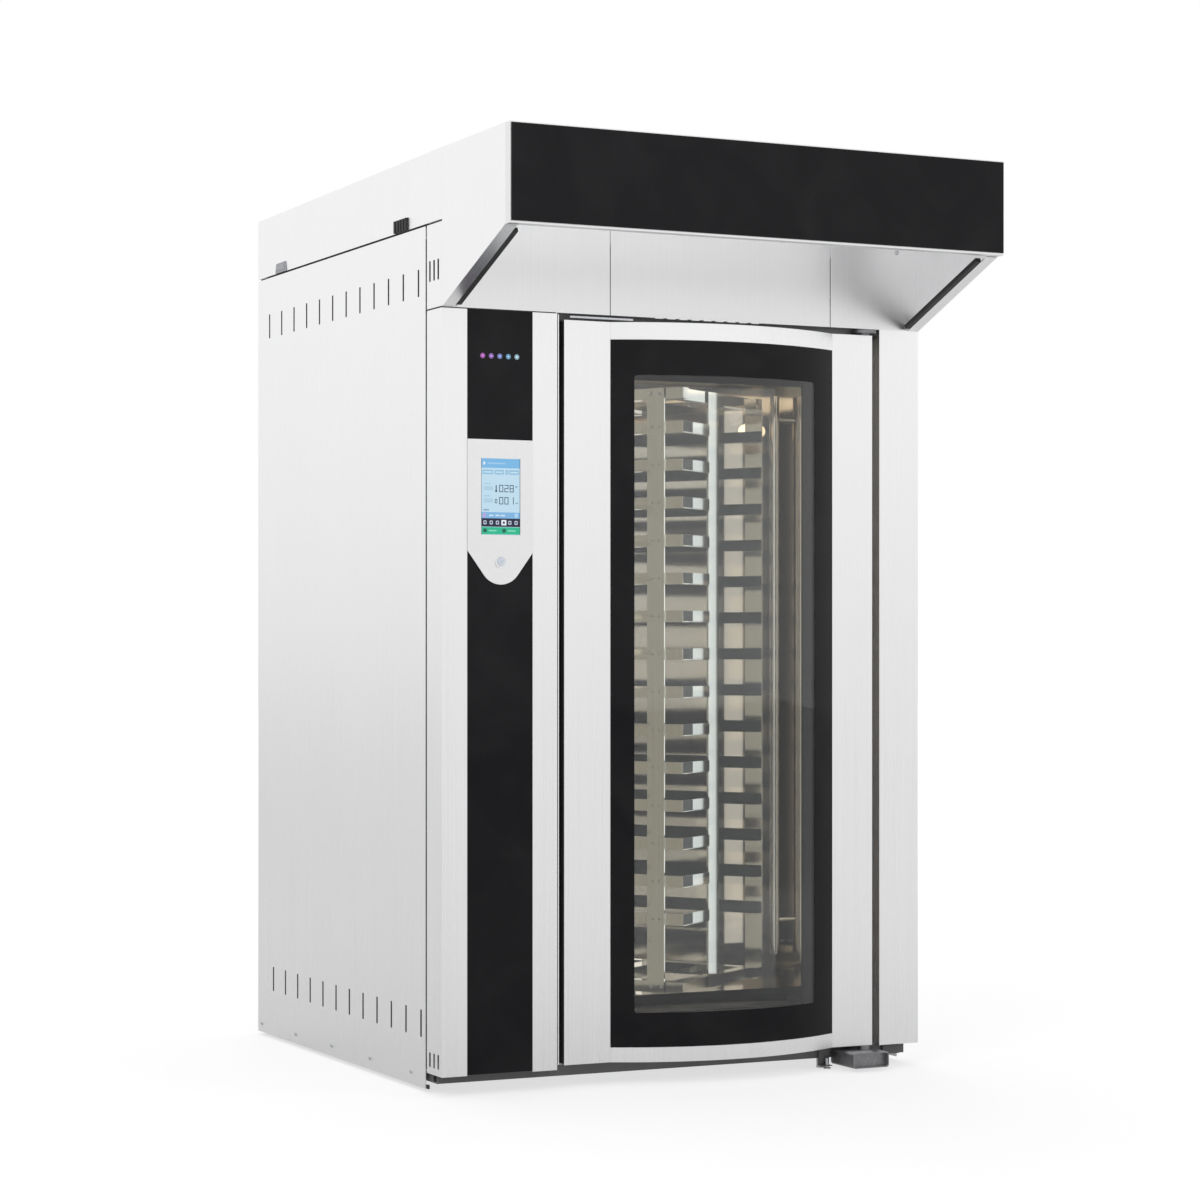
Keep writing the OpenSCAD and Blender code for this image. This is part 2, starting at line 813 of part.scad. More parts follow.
module touch_screen() {
    color("lightskyblue")
        span([control_x - screen_w / 2, bezel_y + 0.5, screen_z],
            [control_x + screen_w / 2, control_plate_y, screen_z + screen_h]);
}

module button_housing() {
    color("silver") difference() {
        union() {
            y_rod(control_x, button_z, housing_front_y, bezel_y, housing_ring_r);
            y_rod(control_x, button_z, bezel_y - cut, housing_back_y, housing_r);
        }
        y_rod(control_x, button_z, housing_front_y - cut, housing_back_y - 6, button_bore_r);
        y_rod(control_x, button_z, housing_back_y - 7, housing_back_y + cut, stem_r + stem_play);
    }
}

module start_button() {
    cap_front_y = housing_front_y - 1.5;
    color("deepskyblue") {
        y_rod(control_x, button_z, cap_front_y, housing_back_y - 8 - button_travel, button_r);
        y_rod(control_x, button_z, cap_front_y + 1, housing_back_y, stem_r);
    }
}

module electrics_box() {
    color("gray")
        span([-skin_x + post_s + sheet_t, control_plate_y + control_plate_t, electrics_z],
            [column_right_x - electrics_gap, mouth_front_y - 2 * sheet_t,
                electrics_z + electrics_h]);
}

module right_front_post() {
    color("whitesmoke") {
        span([post_left_x, front_y, post_panel_z], [half_w, front_y + sheet_t, front_top_z]);
        span([skin_x, front_y, post_panel_z], [half_w, strip_back_y, front_top_z]);
        return_sheet(post_left_x, post_panel_z);
    }
}

// ---- hood ----------------------------------------------------------------

seam_left_x = stile_in_left_x;
seam_right_x = stile_in_right_x - seam_inset;

// One sheet of the hood's rear wall, with a fold that makes the soffit over the door
module hood_back_panel(left, right) {
    reach = skin_x - post_s - sheet_clear;
    span([left, front_y, front_top_z], [right, front_y + sheet_t, oven_h - sheet_t]);
    span([max(left, -reach), front_y, front_top_z],
        [min(right, reach), mouth_front_y, front_top_z + sheet_t]);
}

module hood_back_panels() {
    color("lightgray") {
        hood_back_panel(-skin_x, seam_left_x - seam_gap / 2);
        difference() {
            hood_back_panel(seam_left_x + seam_gap / 2, seam_right_x - seam_gap / 2);
            y_rod(hood_fan_x, hood_fan_z, front_y - cut, front_y + sheet_t + cut, hood_inlet_r);
        }
        hood_back_panel(seam_right_x + seam_gap / 2, skin_x);
    }
}

// Slope of the hood sides, from the front panels up to the fascia
slope_run = hood_d - fascia_d;
slope_rise = oven_h - fascia_h - front_top_z;
slope_angle = atan2(slope_rise, slope_run);
slope_len = sqrt(slope_run * slope_run + slope_rise * slope_rise);

// Draws in a frame whose X runs up the slope and whose Y is square to it
module on_slope(left, right) {
    translate([left, front_y, front_top_z]) rotate([90, 0, 90]) mirror([1, 0, 0])
        rotate([0, 0, slope_angle]) linear_extrude(right - left) children();
}

module hood_side() {
    translate([-half_w, 0, 0]) rotate([90, 0, 90]) linear_extrude(sheet_t)
        polygon([[front_y, front_top_z], [front_y, oven_h],
            [hood_y + fascia_d, oven_h], [hood_y + fascia_d, oven_h - fascia_h]]);
    on_slope(-half_w, -half_w + slope_fold) translate([2 * sheet_t, 0])
        square([slope_len - 4 * sheet_t, sheet_t]);
}

module hood_sides() {
    color("whitesmoke") both_sides() hood_side();
}

module hood_seal_strips() {
    color([0.12, 0.12, 0.12]) both_sides()
        on_slope(-half_w + slope_fold, -half_w + slope_fold + hood_seal_w)
            translate([12, 0]) square([slope_len - 40, 10]);
}

module hood_top() {
    color("gainsboro") span([-skin_x, hood_y + fascia_d, oven_h - sheet_t],
        [skin_x, front_y + sheet_t, oven_h]);
}

module fascia_frame() {
    low = oven_h - fascia_h;
    face_y = hood_y + fascia_glass_t;
    color("silver") difference() {
        span([-half_w, face_y, low], [half_w, hood_y + fascia_d, oven_h]);
        span([-skin_x, face_y + sheet_t, low + sheet_t],
            [skin_x, hood_y + fascia_d + cut, oven_h - sheet_t]);
    }
}

module fascia_glass() {
    color([0.05, 0.05, 0.06]) span([-half_w + 3, hood_y, oven_h - fascia_h + 5],
        [half_w - 3, hood_y + fascia_glass_t, oven_h - 3]);
}

// Steam fan behind the hood: a box with an inlet in front and a spigot on top
module hood_fan_housing() {
    low = hood_fan_z - hood_fan_w / 2 + 1;
    high = low + hood_fan_h;
    mid_y = hood_fan_y + hood_fan_d / 2;
    color("lightgray") {
        difference() {
            union() {
                span([hood_fan_x - hood_fan_w / 2, hood_fan_y, roof_top_z],
                    [hood_fan_x + hood_fan_w / 2, hood_fan_y + hood_fan_d, high]);
                rod(hood_fan_x, mid_y, high - cut, oven_h, hood_spigot_r);
            }
            y_rod(hood_fan_x, hood_fan_z, hood_fan_y + sheet_t, hood_fan_y + hood_fan_d - sheet_t,
                hood_fan_w / 2 - 12);
            y_rod(hood_fan_x, hood_fan_z, hood_fan_y - cut, hood_fan_y + sheet_t + cut, hood_inlet_r);
            rod(hood_fan_x, mid_y, hood_fan_z, oven_h + cut, hood_spigot_r - sheet_t);
            y_rod(hood_fan_x, hood_fan_z, hood_fan_y, hood_fan_y + hood_fan_d + cut,
                fan_shaft_r + shaft_play);
        }
    }
    color("dimgray") difference() {
        y_rod(hood_fan_x, hood_fan_z, hood_fan_y + hood_fan_d, hood_fan_y + hood_fan_d + 70, 45);
        y_rod(hood_fan_x, hood_fan_z, hood_fan_y + hood_fan_d - cut, hood_fan_y + hood_fan_d + 40,
            fan_shaft_r + shaft_play);
    }
}

// A drum of straight blades on a back plate, about +Z
module blade_drum(r, h, hub) {
    plate_t = 3;
    cylinder(r = r, h = plate_t);
    cylinder(r = hub, h = h);
    for (i = [0 : blade_count - 1]) rotate([0, 0, i * 360 / blade_count])
        translate([hub - 2, -1, plate_t - cut]) cube([r - hub - 4, 2, h - plate_t + cut]);
}

module hood_fan_wheel() {
    wheel_y = hood_fan_y + 12;
    depth = hood_fan_d - 26;
    color("silver") {
        translate([hood_fan_x, wheel_y + depth, hood_fan_z]) rotate([90, 0, 0])
            blade_drum(hood_wheel_r, depth, fan_shaft_r + 6);
        y_rod(hood_fan_x, hood_fan_z, wheel_y + depth - cut, hood_fan_y + hood_fan_d + 38, fan_shaft_r);
    }
}

// ---- chamber -------------------------------------------------------------

module chamber_floor() {
    color("silver") difference() {
        span([plenum_x - sheet_t, mouth_back_y, chamber_z - sheet_t],
            [chamber_right_x + sheet_t, chamber_back_y + sheet_t, chamber_z]);
        rod(rack_x, rack_y, chamber_z - sheet_t - cut, chamber_z + cut, hub_r + sheet_clear);
    }
}

module chamber_ceiling() {
    low = chamber_top_z;
    high = chamber_top_z + sheet_t;
    color("silver") difference() {
        span([plenum_x - sheet_t, mouth_back_y, low],
            [chamber_right_x + sheet_t, chamber_back_y + sheet_t, high]);
        rod(rack_x, rack_y, low - cut, high + cut, shaft_r + 3);
        rod(fan_x, fan_y, low - cut, high + cut, fan_shaft_r + 3);
        rod(vent_x, vent_y, low - cut, high + cut, vent_r);
    }
}

module chamber_walls() {
    color("silver") {
        span([chamber_right_x, mouth_back_y, chamber_z],
            [chamber_right_x + sheet_t, chamber_back_y + sheet_t, chamber_top_z]);
        span([plenum_x + sheet_clear, chamber_back_y, chamber_z],
            [chamber_right_x - sheet_clear, chamber_back_y + sheet_t, chamber_top_z]);
        span([plenum_x - sheet_t, mouth_back_y, chamber_z],
            [plenum_x, chamber_back_y + sheet_t, chamber_top_z]);
        span([plenum_x + sheet_clear, mouth_back_y, chamber_z],
            [mouth_left_x - sheet_clear, mouth_back_y + sheet_t, chamber_top_z]);
    }
}

// The slotted panel between the air duct and the chamber
module air_panel() {
    near = mouth_back_y + sheet_t;
    slot_reach = 150;
    slot_step = 250;
    slot_h = 14;
    top_gap = 130;
    first_y = rack_y - slot_step;
    first_z = tier_z - air_pitch + 12;
    air_rows = floor((chamber_top_z - top_gap - first_z) / air_pitch) + 1;
    color("silver") difference() {
        span([chamber_left_x - sheet_t, near, chamber_z],
            [chamber_left_x, chamber_back_y, chamber_top_z]);
        for (row = [0 : air_rows - 1], col = [0 : 2]) {
            y = first_y + col * slot_step;
            z = first_z + row * air_pitch;
            span([chamber_left_x - sheet_t - cut, y - slot_reach / 2, z],
                [chamber_left_x + cut, y + slot_reach / 2, z + slot_h]);
        }
    }
}

// Four bars round the chamber's mouth, which the door seal meets
module mouth_frame() {
    head_z = front_top_z + sheet_t + 7;
    color("lightgray") {
        span([mouth_out_left_x, mouth_front_y, pan_top_z], [mouth_left_x, mouth_back_y, head_z]);
        span([mouth_right_x, mouth_front_y, pan_top_z], [mouth_out_right_x, mouth_back_y, head_z]);
        span([mouth_left_x + sheet_clear, mouth_front_y, mouth_top_z],
            [mouth_right_x - sheet_clear, mouth_back_y, head_z]);
        span([mouth_left_x + sheet_clear, mouth_front_y, pan_top_z],
            [mouth_right_x - sheet_clear, mouth_back_y, mouth_z]);
    }
}

// Mineral wool under, over and round the chamber
module insulation_slabs() {
    side_x = skin_x - post_s;
    far = chamber_back_y + sheet_t;
    over = chamber_top_z + sheet_t;
    color("khaki") {
        difference() {
            span([-side_x, mouth_back_y, pan_top_z],
                [side_x, far + insulation_t, chamber_z - sheet_t]);
            rod(rack_x, rack_y, pan_top_z - cut, chamber_z, hub_r + sheet_clear);
        }
        difference() {
            span([-side_x, mouth_back_y, over], [side_x, far + insulation_t, insulation_top_z]);
            rod(rack_x, rack_y, over - cut, insulation_top_z + cut, shaft_r + 3);
            rod(fan_x, fan_y, over - cut, insulation_top_z + cut, fan_shaft_r + 3);
            rod(vent_x, vent_y, over - cut, insulation_top_z + cut, vent_r + vent_wall + 18);
        }
        span([plenum_x - sheet_t - insulation_side_t, mouth_back_y, chamber_z],
            [plenum_x - sheet_t, far, over - sheet_clear]);
        span([chamber_right_x + sheet_t, mouth_back_y, chamber_z],
            [chamber_right_x + sheet_t + insulation_side_t + 28, far, over - sheet_clear]);
        span([-side_x, far + sheet_clear, chamber_z],
            [side_x, far + insulation_t, over - sheet_clear]);
    }
}

// One U-shaped heating element, hung from a strip on the duct's outer wall
module heating_element(y) {
    element_r = 6;
    bend_r = 55;
    low = chamber_z + 80;
    high = fan_z - 90;
    mid_x = fan_x;
    for (side = [-1, 1]) rod(mid_x + side * bend_r, y, low, high, element_r);
    translate([mid_x, y, low]) rotate([90, 0, 0]) rotate([0, 0, 180])
        rotate_extrude(angle = 180) translate([bend_r, 0]) circle(r = element_r);
    span([plenum_x, y - 12, high - cut], [mid_x + bend_r + 12, y + 12, high + 5]);
}

module heating_elements() {
    step = (chamber_d - 200) / (element_count - 1);
    color("dimgray") for (i = [0 : element_count - 1])
        heating_element(mouth_back_y + 100 + i * step);
}

// Upright steam pipe near the right wall, on two stubs from that wall
pipe_x = chamber_right_x - pipe_gap;
pipe_y = rack_y - 118;
pipe_low_z = chamber_z + 92;
pipe_top_z = chamber_top_z - 83;
pipe_bore_len = 400;
pipe_bore_r = steam_pipe_r - 2;

module steam_pipe() {
    stub_r = 6;
    mitre = 14;
    color("silver") difference() {
        union() {
            rod(pipe_x, pipe_y, pipe_low_z, pipe_top_z, steam_pipe_r);
            for (z = [pipe_low_z + 90, pipe_top_z - 60])
                x_rod(pipe_y, z, pipe_x, chamber_right_x, stub_r);
        }
        rod(pipe_x, pipe_y, pipe_top_z - pipe_bore_len, pipe_top_z + cut, pipe_bore_r);
        translate([pipe_x - 2 * steam_pipe_r, pipe_y, pipe_top_z]) rotate([-30, 0, 0])
            cube([4 * steam_pipe_r, 3 * steam_pipe_r, mitre + 20]);
    }
}

// Halogen lamp on the right wall: a socket and a glass dome
module chamber_lamp() {
    lamp_y = rack_y + 60;
    lamp_z = chamber_top_z - 160;
    face_x = chamber_right_x - 14;
    color("silver") x_rod(lamp_y, lamp_z, face_x, chamber_right_x, 24);
    color("lightyellow") {
        x_rod(lamp_y, lamp_z, face_x - 8, face_x + cut, 17);
        translate([face_x - 8, lamp_y, lamp_z]) rotate([0, -90, 0]) intersection() {
            sphere(r = 17);
            cylinder(r = 20, h = 20);
        }
    }
}

// ---- vent duct -----------------------------------------------------------

module vent_duct() {
    low = chamber_top_z + sheet_t;
    spigot_z = oven_h - spigot_len;
    color("silver") difference() {
        union() {
            rod(vent_x, vent_y, low, low + 4, vent_r + vent_wall + 16);
            rod(vent_x, vent_y, low, spigot_z, vent_r + vent_wall);
            rod(vent_x, vent_y, spigot_z - cut, oven_h, vent_r + spigot_wall);
        }
        rod(vent_x, vent_y, low - cut, oven_h + cut, vent_r);
        x_rod(vent_y, damper_z, vent_x - vent_r - 2 * vent_wall, vent_x + vent_r + 2 * vent_wall,
            damper_shaft_r + shaft_play);
    }
}

module damper_flap() {
    color("gray") {
        rod(vent_x, vent_y, damper_z - damper_t / 2, damper_z + damper_t / 2, vent_r - 0.6);
        x_rod(vent_y, damper_z, vent_x - vent_r - vent_wall - 6,
            vent_x + vent_r + vent_wall + 32, damper_shaft_r);
    }
}

module damper_actuator() {
    near_x = vent_x + vent_r + vent_wall;
    color("dimgray") difference() {
        union() {
            span([near_x + 2, vent_y - 35, roof_top_z], [near_x + 62, vent_y + 35, damper_z + 35]);
        }
        x_rod(vent_y, damper_z, near_x, near_x + 40, damper_shaft_r + shaft_play);
    }
}

// ---- circulating fan -----------------------------------------------------

module fan_motor() {
    high = fan_motor_z + fan_motor_h;
    color("dimgray") difference() {
        union() {
            rod(fan_x, fan_y, roof_top_z, fan_motor_z, fan_motor_r + 12);
            rod(fan_x, fan_y, fan_motor_z - cut, high, fan_motor_r);
            rod(fan_x, fan_y, high - cut, high + 22, fan_motor_r - 12);
        }
        rod(fan_x, fan_y, roof_top_z - cut, fan_motor_z + 60, fan_shaft_r + shaft_play);
    }
}

module fan_wheel() {
    color("silver") {
        translate([fan_x, fan_y, fan_z + fan_h]) mirror([0, 0, 1])
            blade_drum(fan_r, fan_h, 24);
        rod(fan_x, fan_y, fan_z, fan_motor_z + 58, fan_shaft_r);
    }
}

// ---- rack drive ----------------------------------------------------------

module gearmotor() {
    high = pulley_z - 4;
    motor_z = roof_top_z + gear_half;
    color("steelblue") difference() {
        union() {
            span([motor_x - gear_half, rack_y - gear_half, roof_top_z],
                [motor_x + gear_half, rack_y + gear_half, high]);
            y_rod(motor_x, motor_z, rack_y + gear_half - cut,
                rack_y + gear_half + gear_motor_len, gear_motor_r);
        }
        rod(motor_x, rack_y, high - 60, high + cut, motor_shaft_r + shaft_play);
    }
}

module motor_pulley() {
    color("gray") {
        rod(motor_x, rack_y, pulley_z, pulley_z + pulley_h, small_pulley_r);
        rod(motor_x, rack_y, pulley_z - 58, pulley_z + cut, motor_shaft_r);
    }
}

// The belt: two straight runs, and two arcs that lie just off the pulleys
module belt_arc(r, from, to) {
    rotate([0, 0, from]) rotate_extrude(angle = to - from) translate([r + move_clear, 0])
        square([belt_t, belt_w]);
}

module drive_belt() {
    lean = acos((big_pulley_r - small_pulley_r) / belt_centres);
    run = belt_centres * sin(lean);
    low = pulley_z + (pulley_h - belt_w) / 2;
    color([0.1, 0.1, 0.1]) translate([rack_x, rack_y, low]) {
        belt_arc(big_pulley_r, lean, 360 - lean);
        translate([belt_centres, 0, 0]) belt_arc(small_pulley_r, -lean, lean);
        for (side = [-1, 1]) rotate([0, 0, side * lean])
            translate([big_pulley_r + move_clear, side > 0 ? -run : 0, 0])
                cube([belt_t, run, belt_w]);
    }
}

module rack_bearings() {
    color("darkgray") {
        tube(rack_x, rack_y, roof_top_z, roof_top_z + roof_bearing_h, roof_bearing_r,
            shaft_r + shaft_play);
        difference() {
            rod(rack_x, rack_y, pan_top_z, bearing_top_z, hub_r);
            rod(rack_x, rack_y, rack_z - pivot_len - 2, bearing_top_z + cut, pivot_r + shaft_play);
        }
    }
}

module drive_shaft() {
    collar_top = roof_top_z + roof_bearing_h + move_clear;
    color("silver") {
        rod(rack_x, rack_y, rack_top_z + sheet_clear, shaft_top_z, shaft_r);
        rod(rack_x, rack_y, collar_top, collar_top + 12, shaft_r + 10);
        rod(rack_x, rack_y, pulley_z, pulley_z + pulley_h, big_pulley_r);
        rod(rack_x, rack_y, pulley_z - 14, pulley_z + cut, shaft_r + 20);
    }
}

// ---- rack ----------------------------------------------------------------

// A frame of flat beams: one along each ladder and three across, clear of each other
module beam_frame(z) {
    inner = half_rack - beam_w - sheet_clear;
    for (side = [-1, 1]) translate([0, side * (half_rack - beam_w / 2), z + beam_h / 2])
        cube([rack_len, beam_w, beam_h], center = true);
    for (x = [-near_upright_x, stop_x - (beam_w + upright_t) / 2]) translate([x, 0, z + beam_h / 2])
        cube([beam_w, 2 * inner, beam_h], center = true);
    translate([0, 0, z + beam_h / 2]) cube([beam_w + 24, 2 * inner, beam_h], center = true);
}

module rack_base() {
    color("silver") in_rack() {
        beam_frame(rack_z);
        rod(0, 0, rack_z - pivot_len, rack_z + cut, pivot_r);
        rod(0, 0, bearing_top_z + move_clear, rack_z + cut, hub_r - 6);
    }
}

module rack_top() {
    color("silver") in_rack() beam_frame(rack_top_z - beam_h);
}

// One upright bar on the outside of the base and the top frame
module upright(x, y, w = upright_w) {
    translate([x, y, (rack_z + rack_top_z) / 2])
        cube([w, upright_t, rack_top_z - rack_z], center = true);
}

module rack_uprights() {
    outer_y = half_rack + upright_t / 2;
    far_x = half_len - upright_w / 2;
    color("whitesmoke") in_rack() {
        for (x = [-near_upright_x, near_upright_x]) upright(x, -outer_y);
        for (x = [-far_x, far_x]) upright(x, outer_y);
        translate([stop_x, -stop_shift, 0]) rotate([0, 0, 90]) upright(0, 0, stop_w);
    }
}

// An L-shaped tray rail; its ledge points to the middle of the rack
module tray_rail(side) {
    wall_y = side * (half_rack - tray_rail_t / 2);
    ledge_y = side * (half_rack - tray_rail_w / 2);
    translate([0, wall_y, tray_rail_h / 2]) cube([rack_len, tray_rail_t, tray_rail_h], center = true);
    translate([0, ledge_y, tray_rail_t / 2]) cube([rack_len, tray_rail_w, tray_rail_t], center = true);
}

module rack_rails() {
    color("lightgray") in_rack() for (i = [0 : tier_count - 1], side = [-1, 1])
        translate([0, 0, tier_z + i * tier_pitch]) tray_rail(side);
}

// ---- door ----------------------------------------------------------------

// A stile: an open channel with a solid block at each end
module stile(left, right) {
    difference() {
        span([left, front_y, door_z], [right, liner_y, door_top_z]);
        span([left + sheet_t, front_y + sheet_t, door_z + stile_cap_h],
            [right - sheet_t, liner_y + cut, door_top_z - stile_cap_h]);
    }
}

module door_stiles() {
    color("whitesmoke") {
        stile(door_left_x, stile_in_left_x);
        difference() {
            stile(stile_in_right_x, door_right_x);
            for (z = [door_z - cut, door_top_z - hinge_pin_len - 2])
                rod(hinge_x, hinge_y, z, z + hinge_pin_len + 2 + cut, hinge_bore_r);
        }
    }
}

// The bulging outline between the stiles, pulled in by a given distance
module bulge_outline(inset) {
    intersection() {
        translate([glass_mid_x, bulge_y]) circle(r = bulge_r - inset, $fn = 360);
        translate([stile_in_left_x + sheet_clear, front_y - 2 * glass_bulge])
            square([chord - 2 * sheet_clear, 2 * glass_bulge + liner_y - front_y - inset]);
    }
}

// A curved rail: a sheet cap with an open inside
module curved_rail(low, high, lid_low, lid_high) {
    difference() {
        translate([0, 0, low]) linear_extrude(high - low) bulge_outline(0);
        translate([0, 0, lid_low]) linear_extrude(lid_high - lid_low) bulge_outline(sheet_t);
    }
}

module door_rails() {
    glass_low = door_z + bottom_rail_h;
    glass_high = door_top_z - top_rail_h;
    color("whitesmoke") {
        curved_rail(door_z, glass_low, door_z + sheet_t, glass_low + cut);
        curved_rail(glass_high, door_top_z, glass_high - cut, door_top_z - sheet_t);
    }
}

module door_outer_glass() {
    low = door_z + bottom_rail_h;
    high = door_top_z - top_rail_h;
    color([0.2, 0.22, 0.24, 0.5]) translate([0, 0, low]) linear_extrude(high - low)
        difference() {
            bulge_outline(0);
            translate([glass_mid_x, bulge_y]) circle(r = bulge_r - glass_t, $fn = 360);
            translate([stile_in_left_x - cut, front_y + glass_t + 2])
                square([chord + 2 * cut, door_t]);
        }
}

module door_inner_glass() {
    lap = 18;
    color([0.6, 0.65, 0.65, 0.4])
        span([window_left_x - lap, liner_y - glass_t - sheet_clear, window_z - lap],
            [window_right_x + lap, liner_y - sheet_clear, window_top_z + lap]);
}

// Four sheets behind the stiles, round the window
module door_liner() {
    left = door_left_x + 2;
    right = door_right_x - 2;
    color("silver") {
        span([left, liner_y, door_z + 2], [window_left_x, door_back_y, door_top_z - 2]);
        span([window_right_x, liner_y, door_z + 2], [right, door_back_y, door_top_z - 2]);
        span([window_left_x + sheet_clear, liner_y, door_z + 2],
            [window_right_x - sheet_clear, door_back_y, window_z]);
        span([window_left_x + sheet_clear, liner_y, window_top_z],
            [window_right_x - sheet_clear, door_back_y, door_top_z - 2]);
    }
}

// Seal round the liner, which closes on the mouth frame
module door_seal() {
    near = seal_y - seal_t;
    in_left = seal_left_x + seal_w + sheet_clear;
    in_right = seal_outer_x - seal_w - sheet_clear;
    color([0.1, 0.1, 0.1]) {
        span([seal_left_x, near, seal_low_z], [seal_left_x + seal_w, seal_y, seal_top_z]);
        span([seal_outer_x - seal_w, near, seal_low_z], [seal_outer_x, seal_y, seal_top_z]);
        span([in_left, near, seal_low_z], [in_right, seal_y, seal_low_z + seal_w]);
        span([in_left, near, seal_top_z - seal_w], [in_right, seal_y, seal_top_z]);
    }
}

// The folded lip in the gap beside the control column, which fingers pull on
module door_grip() {
    lip_x = door_left_x - 8;
    lip_y = front_y + 45;
    color("gray") {
        span([lip_x, lip_y, door_z + 6], [door_left_x, lip_y + sheet_t, door_top_z - 5]);
        span([lip_x, lip_y - 12, door_z + 6], [lip_x + sheet_t, lip_y + sheet_t, door_top_z - 5]);
    }
}

// ---- hinge arms ----------------------------------------------------------

// The lower arm: a box channel with round corners, open at the front
module lower_hinge_arm() {
    length = rail_front_y - arm_front_y;
    recess = 14;
    color("darkgray") {
        difference() {
            translate([0, rail_front_y, 0]) rotate([90, 0, 0]) linear_extrude(length)
                arm_outline(0);
            translate([0, arm_front_y + recess, 0]) rotate([90, 0, 0])
                linear_extrude(recess + cut) arm_outline(3);
        }
        rod(hinge_x, hinge_y, arm_top_z - cut, door_z - move_clear, collar_r);
        rod(hinge_x, hinge_y, arm_top_z - cut, door_z + hinge_pin_len, hinge_pin_r);
    }
}

// Cross-section of the lower arm, pulled in by a given distance
module arm_outline(inset) {
    r = arm_corner - inset / 2;
    left = arm_left_x + inset;
    right = arm_right_x - inset;
    low = arm_z + inset;
    high = arm_top_z - inset;
    translate([left + r, low]) square([right - left - 2 * r, high - low]);
    translate([left, low + r]) square([right - left, high - low - 2 * r]);
    for (x = [left + r, right - r], z = [low + r, high - r]) translate([x, z]) circle(r = r);
}

// The upper bracket: a plate with a round end that carries the upper pin
module upper_hinge_bracket() {
    color("darkgray") {
        rod(hinge_x, hinge_y, bracket_z, bracket_z + bracket_t, bracket_w / 2);
        span([hinge_x - bracket_w / 2, hinge_y, bracket_z],
            [hinge_x + bracket_w / 2, mouth_front_y, bracket_z + bracket_t]);
        rod(hinge_x, hinge_y, door_top_z + move_clear, bracket_z + cut, collar_r);
        rod(hinge_x, hinge_y, door_top_z - hinge_pin_len, bracket_z + cut, hinge_pin_r);
    }
}

// ---- assembly ------------------------------------------------------------

levelling_feet();
base_rails();
base_pan();
frame_posts();
left_side_panel();
right_side_panel();
rear_panel();
oven_roof();
corner_panels();
crown_panels();
service_connections();
control_strips();
control_mount_plate();
control_glass();
control_bezel();
touch_screen();
button_housing();
start_button();
electrics_box();
right_front_post();
hood_back_panels();
hood_sides();
hood_seal_strips();
hood_top();
fascia_frame();
fascia_glass();
hood_fan_housing();
hood_fan_wheel();
chamber_floor();
chamber_ceiling();
chamber_walls();
air_panel();
mouth_frame();
insulation_slabs();
heating_elements();
steam_pipe();
chamber_lamp();
vent_duct();
damper_flap();
damper_actuator();
fan_motor();
fan_wheel();
gearmotor();
motor_pulley();
drive_belt();
rack_bearings();
drive_shaft();
rack_base();
rack_top();
rack_uprights();
rack_rails();
door_stiles();
door_rails();
door_outer_glass();
door_inner_glass();
door_liner();
door_seal();
door_grip();
lower_hinge_arm();
upper_hinge_bracket();
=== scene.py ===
# %% [markdown]
# A rotating rack oven, dressed for the camera.
# The steel work comes in as a fixed frame that was drawn elsewhere, with every
# moving part on a body of its own. Here each surface gets its finish, and the
# small pieces that a drawing leaves out are added: screws, lights, seals, clips,
# the printed border of the door glass and the picture on the screen.

# %% Load the fixed frame
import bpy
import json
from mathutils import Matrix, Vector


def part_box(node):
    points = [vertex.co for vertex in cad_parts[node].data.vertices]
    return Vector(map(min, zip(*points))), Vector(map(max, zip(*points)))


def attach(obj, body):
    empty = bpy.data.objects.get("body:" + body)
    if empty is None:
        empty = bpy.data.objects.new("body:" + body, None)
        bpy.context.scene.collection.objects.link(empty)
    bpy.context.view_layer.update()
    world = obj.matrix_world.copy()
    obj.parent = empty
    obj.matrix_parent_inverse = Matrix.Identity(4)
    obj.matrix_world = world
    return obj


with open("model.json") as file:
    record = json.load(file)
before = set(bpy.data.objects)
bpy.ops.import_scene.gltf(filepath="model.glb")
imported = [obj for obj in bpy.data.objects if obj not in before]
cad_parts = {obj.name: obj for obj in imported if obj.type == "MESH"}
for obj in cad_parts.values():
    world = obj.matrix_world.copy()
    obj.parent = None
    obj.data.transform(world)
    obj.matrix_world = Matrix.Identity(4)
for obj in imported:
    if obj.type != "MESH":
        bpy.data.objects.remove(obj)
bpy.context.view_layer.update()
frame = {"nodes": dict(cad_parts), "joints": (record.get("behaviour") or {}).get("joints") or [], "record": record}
print("solids from the drawing:", len(frame["nodes"]))

# %% [markdown]
# Blender works in metres and a maker in millimetres. Sizes of pieces are written in
# millimetres here and become metres where a mesh is made. Places of lamps and the
# camera are in metres. The short helpers below write the shader nodes that come up
# again and again, so that each finish later reads as a few plain lines.

# %% Tools
import json
import math
import bmesh
import bpy
from mathutils import Vector

MM = 0.001
scene = bpy.context.scene
nodes = frame["nodes"]
slot_of = {s["node"]: s["material_slot"] for s in frame["record"]["subparts"]}


def corners(node):
    """Lowest and highest corner of a solid from the drawing, in millimetres."""
    low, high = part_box(node)
    return low / MM, high / MM


def feed(tree, socket, value):
    """Puts a number, a colour or another node's output on a socket."""
    if isinstance(value, bpy.types.NodeSocket):
        tree.links.new(value, socket)
    else:
        socket.default_value = (*value, 1) if socket.type == "RGBA" else value


def shader_node(tree, kind, **values):
    """A shader node with values on its named sockets."""
    node = tree.nodes.new("ShaderNode" + kind)
    for label, value in values.items():
        feed(tree, node.inputs[label.replace("_", " ")], value)
    return node


def operate(tree, kind, operation, *values):
    """The outputs of a Math or VectorMath node."""
    node = tree.nodes.new("ShaderNode" + kind)
    node.operation = operation
    for socket, value in zip(node.inputs, values):
        feed(tree, socket, value)
    return node.outputs


def maths(tree, operation, *values):
    return operate(tree, "Math", operation, *values)[0]


